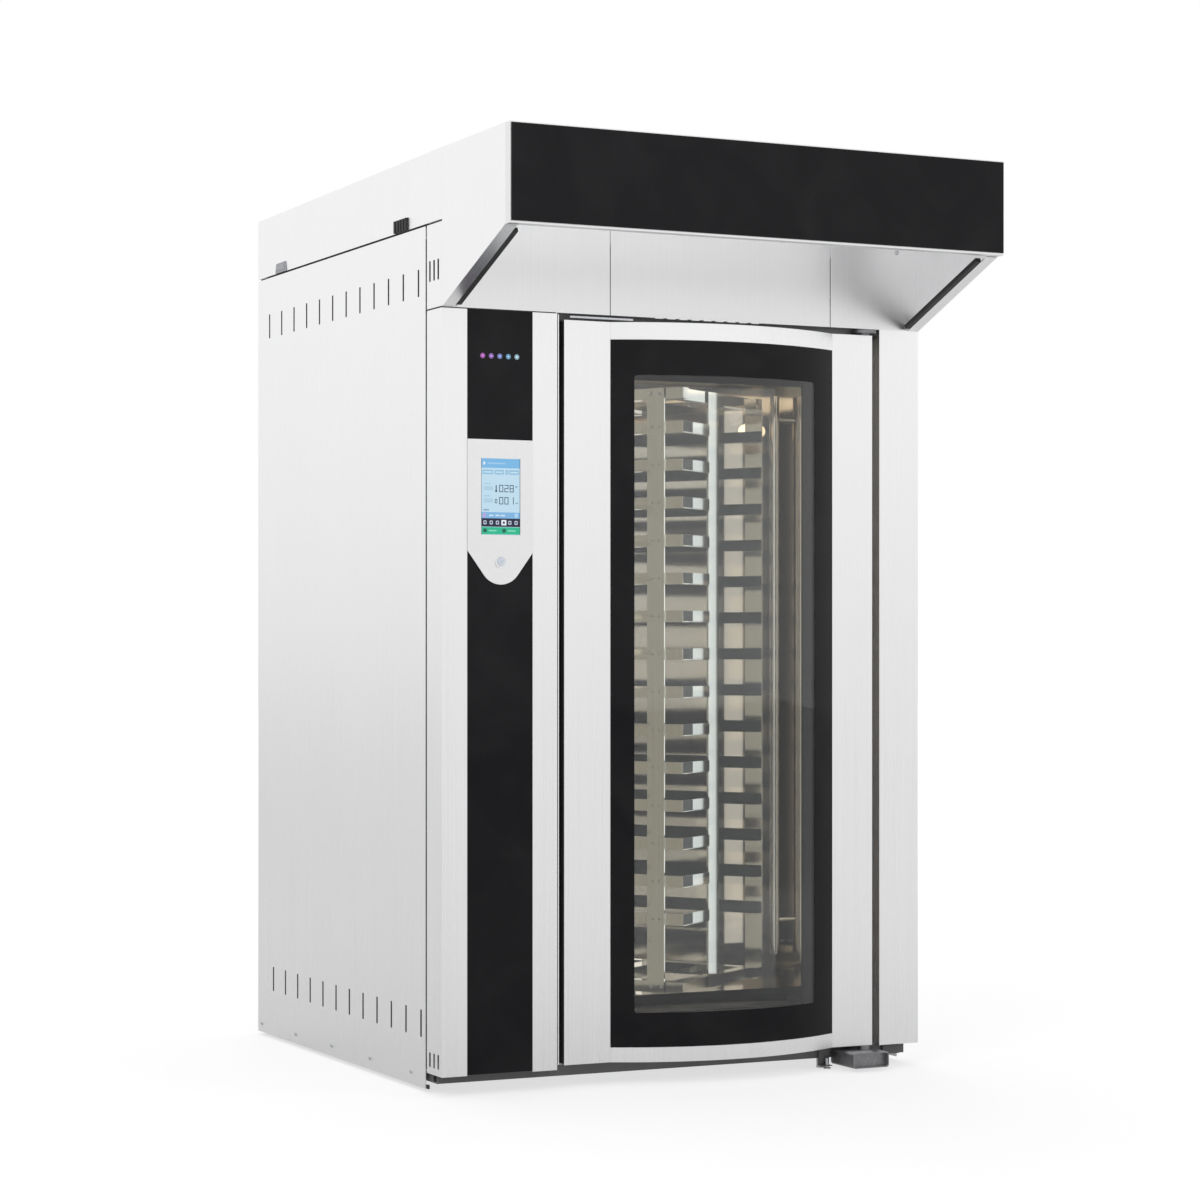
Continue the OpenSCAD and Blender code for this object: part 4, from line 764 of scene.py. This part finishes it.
# %% [markdown]
# Screws, bolts and rivets repeat, so Geometry Nodes make them. The tree takes a
# cloud of points, each with the direction it faces, and stands one head on each.
# A head is a short cylinder with its top drawn in and then pressed down, which
# gives a socket. The tree's inputs are the sizes a maker would order it by.

# %% Fastener tree
def make_fastener_tree():
    tree, takes, gives = start_group("fasteners", "GeometryNodeTree", [
        ("Geometry", "Geometry", None), ("Sides", "Int", 20), ("Radius", "Float", 0.005),
        ("Height", "Float", 0.003), ("Top", "Float", 0.8), ("Socket", "Float", 0.5),
        ("Socket Depth", "Float", 0.0015), ("Finish", "Material", None)],
        [("Geometry", "Geometry")])
    link = tree.links.new
    add = tree.nodes.new
    plate = add("GeometryNodeMeshCircle")
    plate.fill_type = "NGON"
    link(takes["Sides"], plate.inputs["Vertices"])
    link(takes["Radius"], plate.inputs["Radius"])
    shape, top = plate.outputs["Mesh"], None

    def raise_top(amount):
        nonlocal shape, top
        node = add("GeometryNodeExtrudeMesh")
        node.inputs["Individual"].default_value = False
        link(shape, node.inputs["Mesh"])
        if top is not None:
            link(top, node.inputs["Selection"])
        feed(tree, node.inputs["Offset Scale"], amount)
        shape, top = node.outputs["Mesh"], node.outputs["Top"]

    def draw_in(share):
        nonlocal shape
        node = add("GeometryNodeScaleElements")
        link(shape, node.inputs["Geometry"])
        link(top, node.inputs["Selection"])
        link(share, node.inputs["Scale"])
        shape = node.outputs["Geometry"]

    raise_top(maths(tree, "MULTIPLY", takes["Height"], 0.6))
    raise_top(maths(tree, "MULTIPLY", takes["Height"], 0.4))
    draw_in(takes["Top"])
    raise_top(0.00001)
    draw_in(takes["Socket"])
    raise_top(maths(tree, "MULTIPLY", takes["Socket Depth"], -1.0))
    facing = add("GeometryNodeInputNamedAttribute")
    facing.data_type = "FLOAT_VECTOR"
    facing.inputs["Name"].default_value = "facing"
    turn = add("FunctionNodeAlignRotationToVector")
    turn.axis = "Z"
    link(facing.outputs["Attribute"], turn.inputs["Vector"])
    stand = add("GeometryNodeInstanceOnPoints")
    link(takes["Geometry"], stand.inputs["Points"])
    link(shape, stand.inputs["Instance"])
    link(turn.outputs["Rotation"], stand.inputs["Rotation"])
    real = add("GeometryNodeRealizeInstances")
    link(stand.outputs[0], real.inputs[0])
    paint = add("GeometryNodeSetMaterial")
    link(real.outputs[0], paint.inputs["Geometry"])
    link(takes["Finish"], paint.inputs["Material"])
    link(paint.outputs[0], gives[0])
    return tree


fastener_tree = make_fastener_tree()
print("fastener tree of", len(fastener_tree.nodes), "nodes")

# %% [markdown]
# A modifier runs the tree. Its inputs are set before the object is first looked at,
# and the result is then kept as a plain mesh, so that nothing is left to compute
# when the part is used elsewhere.

# %% Running the fastener tree
def run_tree(name, tree, mesh, body, finish, numbers):
    """Runs a tree on a mesh and keeps the result as a plain mesh on its body."""
    holder = bpy.data.objects.new(name + "_points", mesh)
    scene.collection.objects.link(holder)
    modifier = holder.modifiers.new("nodes", "NODES")
    modifier.node_group = tree
    keys = {i.name: i.identifier for i in tree.interface.items_tree
            if i.item_type == "SOCKET" and i.in_out == "INPUT"}
    for label, value in numbers.items():
        modifier[keys[label]] = value
    modifier[keys["Finish"]] = finishes[finish]
    graph = bpy.context.evaluated_depsgraph_get()
    made = bpy.data.meshes.new_from_object(holder.evaluated_get(graph))
    holder.modifiers.remove(modifier)
    bpy.data.objects.remove(holder)
    made.name = name
    shade_smooth(made, 35)
    return place(bpy.data.objects.new(name, made), body, finish)


def fasteners(name, spots, head, body="casing", finish="zinc_steel"):
    """Heads on spots: each spot is a point in millimetres and the direction it faces."""
    mesh = bpy.data.meshes.new(name + "_points")
    mesh.from_pydata([tuple(v * MM for v in p) for p, _ in spots], [], [])
    facing = mesh.attributes.new("facing", "FLOAT_VECTOR", "POINT")
    for item, (_, direction) in zip(facing.data, spots):
        item.vector = direction
    obj = run_tree(name, fastener_tree, mesh, body, finish, head)
    print(name, len(spots), "heads,", len(obj.data.polygons), "faces")


PAN = {"Sides": 20, "Radius": 0.0055, "Height": 0.0032,
       "Top": 0.72, "Socket": 0.5, "Socket Depth": 0.0016}
SMALL_PAN = {**PAN, "Radius": 0.0045, "Height": 0.0025}
RIVET = {"Sides": 12, "Radius": 0.003, "Height": 0.0014,
         "Top": 0.6, "Socket": 0.5, "Socket Depth": 0.0002}
LEFT, RIGHT, FRONT, BACK = (-1, 0, 0), (1, 0, 0), (0, -1, 0), (0, 1, 0)
print("heads ready")

# %% [markdown]
# Pan-head screws hold the side panels along their lower edge, and the rear panel
# down both sides and along its top and foot. The row on a side panel falls a little
# towards the back.

# %% Screws of the outer sheets
ROW_FALL = 0.0065
first_y, first_z, screw_gap = -247, 38.3, 254
side_x = corners("left_side_panel")[0].x
rear_y = corners("rear_panel")[1].y
spots = []
for x, facing in ((side_x, LEFT), (-side_x, RIGHT)):
    spots += [((x, first_y + y, first_z - ROW_FALL * y), facing)
              for y in range(0, 5 * screw_gap, screw_gap)]
for z in (40, 530, 1020, 1510, 2000):
    spots += [((x, rear_y, z), BACK) for x in (-630, 630)]
spots += [((x, rear_y, z), BACK) for x in (-315, 0, 315) for z in (40, 2000)]
fasteners("sheet_screws", spots, PAN)

# %% [markdown]
# The gaps between the sheets are deep and hold a black seal, so from outside each
# reads as a dark line. The seals are plain strips set back from the faces, in black
# card darker than rubber: part seal, part painted shade for the depth of the gap.
# Behind the ventilation slots lies a dark screen, a few millimetres inside the sheet,
# painted shade for the dark space behind them. Thin flat black strips lie where the
# hood's lower edge meets the strips below it: a painted shadow line.

# %% Seals in the grooves
panel_low, panel_high = corners("left_side_panel")
corner_high = corners("corner_panels")[1]
strip_low, strip_high = corners("control_strips")
crown_low = corners("crown_panels")[0]
hood_foot = strip_high.z
gap_front, gap_back = min(strip_high.y, corner_high.y), panel_low.y
SIDES = (-1, 1)


def side_box(solids, side, x0, x1, y0, y1, z0, z1):
    """A box near the left or the right side, with x counted outwards from the middle."""
    low_x, high_x = sorted((side * x0, side * x1))
    solids.box((low_x, y0, z0), (high_x, y1, z1))


# Seals and painted shade: black card strips deep in each gap, darker than rubber, so the gap reads as a dark line.
groove = Solids()
for side in SIDES:
    side_box(groove, side, 636, 642, gap_front + 0.1, gap_back - 0.1,
             strip_low.z + 8, corner_high.z - 4)
    side_box(groove, side, 634, 645, -425, 790, panel_high.z + 0.2, crown_low.z - 0.2)
piece("groove_seals_and_shade", groove, "black_card", slot="black_rubber", edge=0)
print("upright joint from", round(gap_front, 1), "to", round(gap_back, 1))

# %% Painted shadow lines between the strips and the hood
FRONT_FACE = -427.0
# Painted shadow: thin black strips along the hood's lower edge draw the dark line where it meets the strips below.
lips = Solids()
for side in SIDES:
    side_box(lips, side, 649.9, 650.3, FRONT_FACE, gap_front, hood_foot - 1.6, hood_foot + 1.4)
lips.box((-650, -427.35, hood_foot - 2.2),
         (corners("control_glass")[1].x + 62, -426.9, hood_foot + 0.4))
piece("hood_shadow_lines", lips, "black_rubber", edge=0)
print("hood seals at height", round(hood_foot, 1))

# %% Screens behind the slots, as painted shade
SLOT_ROWS = ((1800, 1960), (110, 260))
CORNER_SLOTS = ((1920, 48), (80, 33.6))
# Painted shade: black card behind each slot stands in for the dark space inside the sheet.
screens = Solids()
for side in SIDES:
    for z0, z1 in SLOT_ROWS:
        side_box(screens, side, 646.6, 647.6, -300, 760, z0, z1)
    for z, tall in CORNER_SLOTS:
        side_box(screens, side, 648.9, 649.3, -361.9, -353.1,
                 z - tall / 2 + 0.1, z + tall / 2 - 0.1)
piece("slot_shade_screens", screens, "black_card", slot="black_rubber", edge=0)
print("screens:", len(screens.faces) // 6)

# %% [markdown]
# Two clips hold the crown down on the left side: a ribbed black block near the
# front, and a plain grey tab near the back with sloping edges.

# %% Crown clips
CLIP_FOOT = 2034.5
clip = Solids()
clip.box((-651.5, -227, CLIP_FOOT), (-650, -149, 2064))
for i in range(5):
    y = -226 + i * 16.5
    clip.pushed(rounded(-655.5, y, -651, y + 10, 1.2), "z", CLIP_FOOT, 2063.5)
piece("ribbed_clip", clip, "black_rubber", edge=0.5)
tab = Solids()
tab.pushed([(584, CLIP_FOOT), (662, CLIP_FOOT), (655, 2059), (592, 2060)], "x", -653, -650.1)
tab.pushed([(592, 2040), (654, 2040), (650, 2055), (597, 2055)], "x", -654.6, -653.2)
piece("plain_clip", tab, "grip_grey", edge=0.5)
print("clips at height", CLIP_FOOT)


# %% [markdown]
# The control glass carries five round lights near the top and, in the silver
# bezel, a touch screen. Both glow in several colours. Each face of their meshes
# holds its own colour in an attribute, and one finish reads it, with a fine grid
# of dots over it.

# %% Glowing finishes
def glowing(name, power, rough, dot_grid):
    """A dark surface that glows in the colours of the mesh."""
    f = Finish(name, Emission_Strength=power, Roughness=rough, Specular_IOR_Level=0.2)
    ink = f.tree.nodes.new("ShaderNodeAttribute")
    ink.attribute_name = "ink"
    dots = f.use(satin_lines, Across=(dot_grid, dot_grid, dot_grid))["Lines"]
    shade = f.colours(dots, (0.93, 0.93, 0.93), WHITE)
    f.set("Emission Color", mix_colours(f.tree, 1.0, ink.outputs["Color"], shade, "MULTIPLY"))
    f.set("Base Color", f.colours(dots, (0.01, 0.01, 0.012), (0.02, 0.02, 0.022)))


glowing("screen_ink", 0.95, 0.1, 1500.0)
glowing("light_ink", 1.0, 0.3, 300.0)
print("finishes with the glowing ones:", len(finishes))

# %% [markdown]
# Each status light is a small round window in a thin raised ring. The ring is a
# profile turned into a closed loop, in a darker tone of the light's own colour.

# %% Status lights
HUES = ((0.75, 0.22, 0.80), (0.55, 0.30, 0.90), (0.35, 0.45, 0.95),
        (0.30, 0.65, 0.95), (0.55, 0.85, 0.98))
LIGHT_RING = [(6.2, 0), (6.2, -0.25), (5.7, -0.4), (4.2, -0.4), (4.0, -0.25), (4.0, 0), (6.2, 0)]
LIGHT_WINDOW = [(3.2, 0), (3.2, -0.3), (2.4, -0.5)]
FIRST_LIGHT, LIGHT_GAP, LIGHT_Z = -546, 22, 1722
face_y = corners("control_glass")[0].y
lights = Solids()
for i, hue in enumerate(HUES):
    middle = (FIRST_LIGHT + i * LIGHT_GAP, face_y - 0.02, LIGHT_Z)
    lights.turned(LIGHT_RING, middle, "y", 32, tuple(0.5 * v for v in hue))
    lights.turned(LIGHT_WINDOW, middle, "y", 24, hue)
piece("status_lights", lights, "light_ink", slot="screen", edge=0, inks=True)
print("status lights:", len(HUES))

# %% [markdown]
# The screen's picture is generic: a bar, two boxes, two readings in seven-stroke
# figures, a row of signs and two keys. It's thin tiles of one mesh, laid over each
# other like cut paper. Each row below gives a tile's left, foot, right and top in
# shares of the screen, its colour, how far it lies above the glass in millimetres
# and, for a round-cornered tile, its corner radius.

# %% Tiles of the screen
screen_low, screen_high = corners("touch_screen")
screen_w, screen_h = screen_high.x - screen_low.x, screen_high.z - screen_low.z
picture = Solids()


def tile(a0, b0, a1, b1, ink, lift=0.0, radius=0.0):
    """A tile between shares of the screen's width and height, from its lower left."""
    x0, x1 = (screen_low.x + a * screen_w for a in (a0, a1))
    z0, z1 = (screen_low.z + b * screen_h for b in (b0, b1))
    near, back = screen_low.y - 0.1 - lift, screen_low.y - 0.01 - lift
    if radius:
        outline = [(z, x) for x, z in rounded(x0, z0, x1, z1, radius)]
        picture.pushed(outline, "y", near, back, ink)
    else:
        picture.box((x0, near, z0), (x1, back, z1), ink)


PALE, SKY, SLATE = (0.55, 0.76, 0.90), (0.20, 0.50, 0.82), (0.26, 0.42, 0.56)
INK, NAVY, GREEN = (0.02, 0.05, 0.10), (0.010, 0.014, 0.045), (0.02, 0.50, 0.28)
PAPER = (0.85, 0.92, 0.98)
upper_rows = [
    (0.01, 0.0, 0.99, 1.0, PALE),
    (0.01, 0.875, 0.99, 0.995, SKY, 0.1),
    (0.05, 0.915, 0.10, 0.955, PAPER, 0.2, 2.0),
    (0.16, 0.925, 0.62, 0.945, (0.36, 0.62, 0.86), 0.2)]
for a0, a1 in ((0.03, 0.30), (0.34, 0.58), (0.62, 0.70), (0.72, 0.97)):
    upper_rows += [(a0, 0.79, a1, 0.85, (0.30, 0.55, 0.76), 0.1, 1.5),
                   (a0 + 0.03, 0.812, a1 - 0.03, 0.828, (0.62, 0.82, 0.93), 0.2)]
for b0 in (0.56, 0.40):
    upper_rows += [(0.06, b0 + 0.02, 0.30, b0 + 0.075, (0.44, 0.66, 0.80), 0.1, 1.0),
                   (0.06, b0 + 0.10, 0.24, b0 + 0.115, (0.40, 0.62, 0.78), 0.1)]
for row in upper_rows:
    tile(*row)
print("screen", round(screen_w, 1), "by", round(screen_h, 1), "mm")

# %% Figures on the screen
STROKES = {"a": (0, 1.0, 1, 1.0), "d": (0, 0, 1, 0), "g": (0, 0.5, 1, 0.5),
           "f": (0, 0.5, 0, 1), "b": (1, 0.5, 1, 1), "e": (0, 0, 0, 0.5), "c": (1, 0, 1, 0.5)}
DIGITS = {"0": "abcdef", "1": "bc", "2": "abged", "8": "abcdefg"}
FIGURE_W, FIGURE_H, FIGURE_GAP, STROKE = 0.085, 0.085, 0.05, 0.018


def figures(text, a, b):
    """Seven-stroke figures, from a lower left corner in shares of the screen."""
    half_a, half_b = STROKE / 2, STROKE / 2 * screen_w / screen_h
    for k, digit in enumerate(text):
        left = a + k * (FIGURE_W + FIGURE_GAP)
        for stroke in DIGITS[digit]:
            x0, z0, x1, z1 = STROKES[stroke]
            lift = 0.12 + 0.01 * (stroke in "adg")
            tile(left + x0 * FIGURE_W - half_a, b + z0 * FIGURE_H - half_b,
                 left + x1 * FIGURE_W + half_a, b + z1 * FIGURE_H + half_b, INK, lift)


figures("028", 0.47, 0.565)
figures("001", 0.47, 0.405)
print("figures of", len(STROKES), "strokes at most")

# %% Signs, bars and keys of the screen
lower_rows = [
    (0.37, 0.565, 0.395, 0.65, INK, 0.12, 1.0),
    (0.355, 0.56, 0.41, 0.585, INK, 0.14, 2.0),
    (0.35, 0.41, 0.41, 0.47, INK, 0.12, 2.9),
    (0.365, 0.42, 0.395, 0.46, PALE, 0.2, 1.4),
    (0.88, 0.62, 0.93, 0.645, SLATE, 0.12),
    (0.88, 0.41, 0.95, 0.425, SLATE, 0.12),
    (0.05, 0.315, 0.20, 0.335, SLATE, 0.12),
    (0.01, 0.215, 0.99, 0.295, (0.22, 0.48, 0.78), 0.1),
    (0.04, 0.228, 0.12, 0.282, (0.50, 0.40, 0.75), 0.2, 1.5)]
lower_rows += [(a, 0.245, a + 0.11, 0.262, (0.70, 0.85, 0.97), 0.2) for a in (0.20, 0.36, 0.50)]
lower_rows += [(0.86, 0.228, 0.94, 0.282, (0.45, 0.70, 0.92), 0.2, 1.5),
               (0.01, 0.105, 0.99, 0.215, NAVY, 0.1)]
SIGNS, CHOSEN = 6, 3
for i in range(SIGNS):
    a = 0.045 + i * 0.16
    if i == CHOSEN:
        lower_rows += [(a - 0.01, 0.125, a + 0.12, 0.195, PAPER, 0.2, 1.0),
                       (a + 0.03, 0.145, a + 0.08, 0.175, NAVY, 0.3, 1.0)]
    else:
        lower_rows += [(a + 0.01, 0.135, a + 0.09, 0.185, (0.60, 0.66, 0.80), 0.2, 1.8),
                       (a + 0.03, 0.147, a + 0.07, 0.173, NAVY, 0.3, 0.8)]
lower_rows.append((0.01, 0.005, 0.99, 0.10, GREEN, 0.1))
for a in (0.05, 0.54):
    lower_rows += [(a, 0.03, a + 0.09, 0.08, (0.01, 0.12, 0.08), 0.2, 2.2),
                   (a + 0.14, 0.045, a + 0.34, 0.062, (0.25, 0.75, 0.52), 0.2)]
for row in lower_rows:
    tile(*row)
piece("screen_picture", picture, "screen_ink", slot="screen", edge=0, inks=True)
print("screen tiles:", len(picture.faces))

# %% [markdown]
# The push button has two raised silver rings on its cap. They ride on the button,
# so they go in with it when it is pressed.

# %% Rings on the push button
cap_low, cap_high = corners("start_button")
ring_mid = ((cap_low.x + cap_high.x) / 2, cap_low.y, (cap_low.z + cap_high.z) / 2)
rings = Solids()
for outer, inner in ((8.6, 6.6), (4.8, 3.4)):
    rings.turned([(outer, 0), (outer, -0.3), (outer - 0.3, -0.5), (inner + 0.3, -0.5),
                  (inner, -0.3), (inner, 0), (outer, 0)], ring_mid, "y", 48)
piece("button_rings", rings, "bezel_silver", "button", edge=0)
print("button rings at", [round(v, 1) for v in ring_mid])

# %% [markdown]
# The rack turns on a pivot, so its own length and width lie askew to the oven. A
# short helper turns the rack's own measures into the oven's. The levels' heights
# are read from the rails themselves, so what is fixed to them always fits.

# %% The rack's own directions
RACK_TURN = math.radians(33 - 90)
spin = [j for j in frame["joints"] if j["name"] == "rack_spin"][0]
rack_x, rack_y = spin["pos_m"][0] / MM, spin["pos_m"][1] / MM


def on_rack(along, across, z):
    """A point given along the rack's rails, across them and by height."""
    return (rack_x + along * math.cos(RACK_TURN) - across * math.sin(RACK_TURN),
            rack_y + along * math.sin(RACK_TURN) + across * math.cos(RACK_TURN), z)


heights = sorted({round(v.co.z / MM, 1) for v in nodes["rack_rails"].data.vertices})
levels = [z for k, z in enumerate(heights) if k == 0 or z - heights[k - 1] > 40]
rail_h = [z for z in heights if z < levels[1]][-1] - levels[0]
print("levels:", len(levels), "from", levels[0], "to", levels[-1], "rail height", rail_h)

# %% [markdown]
# At each level a folded plate joins the end of the near rail to the stop bar, so
# that a tray can't slide out at the back. Its bright face catches the wall light,
# which draws the row of pale patches seen through the window. A dark pad at its end
# keeps the tray from ringing.


# %% Stop plates of the rack
def rack_bar(solids, start, end, thick, low, high):
    """An upright plate between two points of the rack, given as (along, across)."""
    start, end = Vector(start), Vector(end)
    side = Vector((start.y - end.y, end.x - start.x)).normalized() * thick / 2
    outline = [on_rack(*p, 0)[:2] for p in (start + side, start - side, end - side, end + side)]
    solids.pushed(outline, "z", low, high)


stops, pads = Solids(), Solids()
for z in levels:
    rack_bar(stops, (298.5, -212.5), (288.6, -54), 1.5, z + 2.2, z + rail_h)
    rack_bar(stops, (293.0, -212.5), (283.0, -54), 12, z + 0.2, z + 2.0)
    rack_bar(pads, (298.7, -211), (295.4, -158), 4.5, z + 2.6, z + rail_h - 0.4)
piece("tray_stops", stops, "rack_steel", "rack", edge=0.3)
piece("tray_stop_pads", pads, "dark_paint", "rack", slot="black_rubber", edge=0.4)
print("tray stops:", len(levels))

# %% [markdown]
# Two rivets hold each rail to each upright, and two small screws hold the uprights
# to the base and to the top frame. All sit on the uprights' outer faces, in pairs
# side by side, so one helper places both kinds.

# %% Rivets and screws of the rack
HALF_RACK, NEAR_UPRIGHTS, FAR_UPRIGHTS = 220.0, (-226, 226), (-276, 276)
BASE_Z, TOP_Z = 198.0, 1673.0
outwards = Vector(on_rack(0, -1, 0)) - Vector(on_rack(0, 0, 0))


def on_uprights(z, half_gap):
    """A pair of spots side by side on the outer face of each upright."""
    return [(on_rack(along + step, across, z), tuple(facing))
            for uprights, across, facing in ((NEAR_UPRIGHTS, -HALF_RACK, outwards),
                                             (FAR_UPRIGHTS, HALF_RACK, -outwards))
            for along in uprights for step in (-half_gap, half_gap)]


rivets = [spot for z in levels for spot in on_uprights(z + rail_h / 2, 9)]
fasteners("rack_rivets", rivets, RIVET, "rack", "rack_steel")
screws = [spot for z in (BASE_Z, TOP_Z) for spot in on_uprights(z, 14)]
fasteners("rack_frame_screws", screws, SMALL_PAN, "rack")

# %% [markdown]
# Small fittings round the front: a steel lip in the gap left of the door, a bright
# trim and a dark screen over the door, a row of clips under the hood's rear wall, a
# bracket with a levelling bolt in front of the plinth, a foot under the right post
# and a nub on the lower corner. The dark screen over the door is painted shade for
# the recess above it. They're folded sheet and plain bolts, each set against the
# drawn sheet that would carry it.

# %% Lip and black strip of the gap beside the door
column_right = corners("control_strips")[1].x
lip = Solids()
lip.box((column_right + 2.0, -427, 60), (column_right + 4.8, -402, hood_foot - 4))
lip.box((column_right - 0.2, -404, 60), (column_right + 4.8, -402.4, hood_foot - 4))
piece("gap_lip", lip, "outer_steel", slot=slot_of["control_strips"], edge=0.3)
door_low, door_high = corners("door_stiles")
# A thin black strip covers the door's left side face in the gap beside the door.
edge_black_strip = Solids()
edge_black_strip.box((door_low.x - 0.6, -423, door_low.z + 3), (door_low.x - 0.05, -362, door_high.z - 3))
piece("door_edge_black_strip", edge_black_strip, "black_card", "door", slot="black_rubber", edge=0)
print("gap beside the door:", round(door_low.x - column_right, 1), "mm")

# %% Clips, trim and screen over the door
clips = Solids()
for x in range(-93, 172, 33):
    clips.box((x, -428.0, hood_foot - 2), (x + 22, -427.0, hood_foot + 3))
piece("soffit_clips", clips, "bezel_silver", edge=0.3)
trim = Solids()
trim.box((-318, -424, hood_foot - 10), (-150, -420.5, hood_foot - 5))
piece("door_head_trim", trim, "zinc_steel", edge=0.4)
# Painted shade: a dark painted sheet that darkens the recess over the door.
head = Solids()
head.box((column_right + 1, -404, hood_foot - 14),
         (corners("right_front_post")[0].x - 1, -402.5, hood_foot - 0.2))
piece("door_head_shade_screen", head, "dark_paint", edge=0)
print("soffit clips:", len(clips.faces) // 6)

# %% Brackets, bolt, nub and screw
low_bits = Solids()
low_bits.box((389, -385, 9), (418, -377.4, 47))
low_bits.box((389, -400, 7), (418, -377.4, 9))
low_bits.pushed(rounded(574, -385, 623, -377.4, 3), "z", 25, 47)
piece("front_brackets", low_bits, "dark_paint", edge=0.8)
bolt = Solids()
bolt.turned([(9, 0), (9, 3), (5, 4), (5, 26)], (408, -391, 0), "z", 32)
piece("bracket_bolt", bolt, "zinc_steel", edge=0.2)
nub = Solids()
nub.box((-650.2, -346, 9), (-645, -336, 19))
piece("corner_nub", nub, "black_rubber", edge=1.0)
fasteners("hood_screw", [((588, -427, 2025), FRONT)], PAN)
print("fittings made")

# %% [markdown]
# The chamber is lit by a pale strip at the right wall, a warm strip at the left one,
# a thin one at the rear and a dim square under the ceiling. One more lamp lies
# inside the hood. The camera doesn't see them, but the bright walls and the rack
# mirror them. Their power is small: an area lamp is as bright in a mirror as its
# power over pi times its area.

# %% Light inside the chamber and the hood
PALE_BLUE, WARM, AMBER = (0.90, 0.97, 1.0), (1.0, 0.87, 0.68), (1.0, 0.93, 0.74)
CREAM = (1.0, 0.96, 0.88)
for name, place_m, aim, size, watts, colour in (
        ("wall_strip", (0.515, -0.155, 0.96), (-0.3, -0.155, 0.96), (0.11, 1.55), 0.5, PALE_BLUE),
        ("duct_strip", (-0.322, -0.17, 0.96), (0.5, -0.17, 0.96), (0.26, 1.6), 0.34, AMBER),
        ("ceiling_square", (0.08, 0.10, 1.772), (0.08, 0.10, 0.9), (0.5, 0.5), 0.9, WARM),
        ("rear_strip", (0.363, 0.564, 0.96), (0.363, 0, 0.96), (0.06, 1.5), 0.16, CREAM),
        ("hood_light", (0, -0.762, 2.085), (0, -0.4, 2.085), (1.2, 0.19), 0.44, WHITE)):
    soft_lamp(name, place_m, aim, size, watts, colour, mirrored=True)
print("lamps:", len(bpy.data.lights))
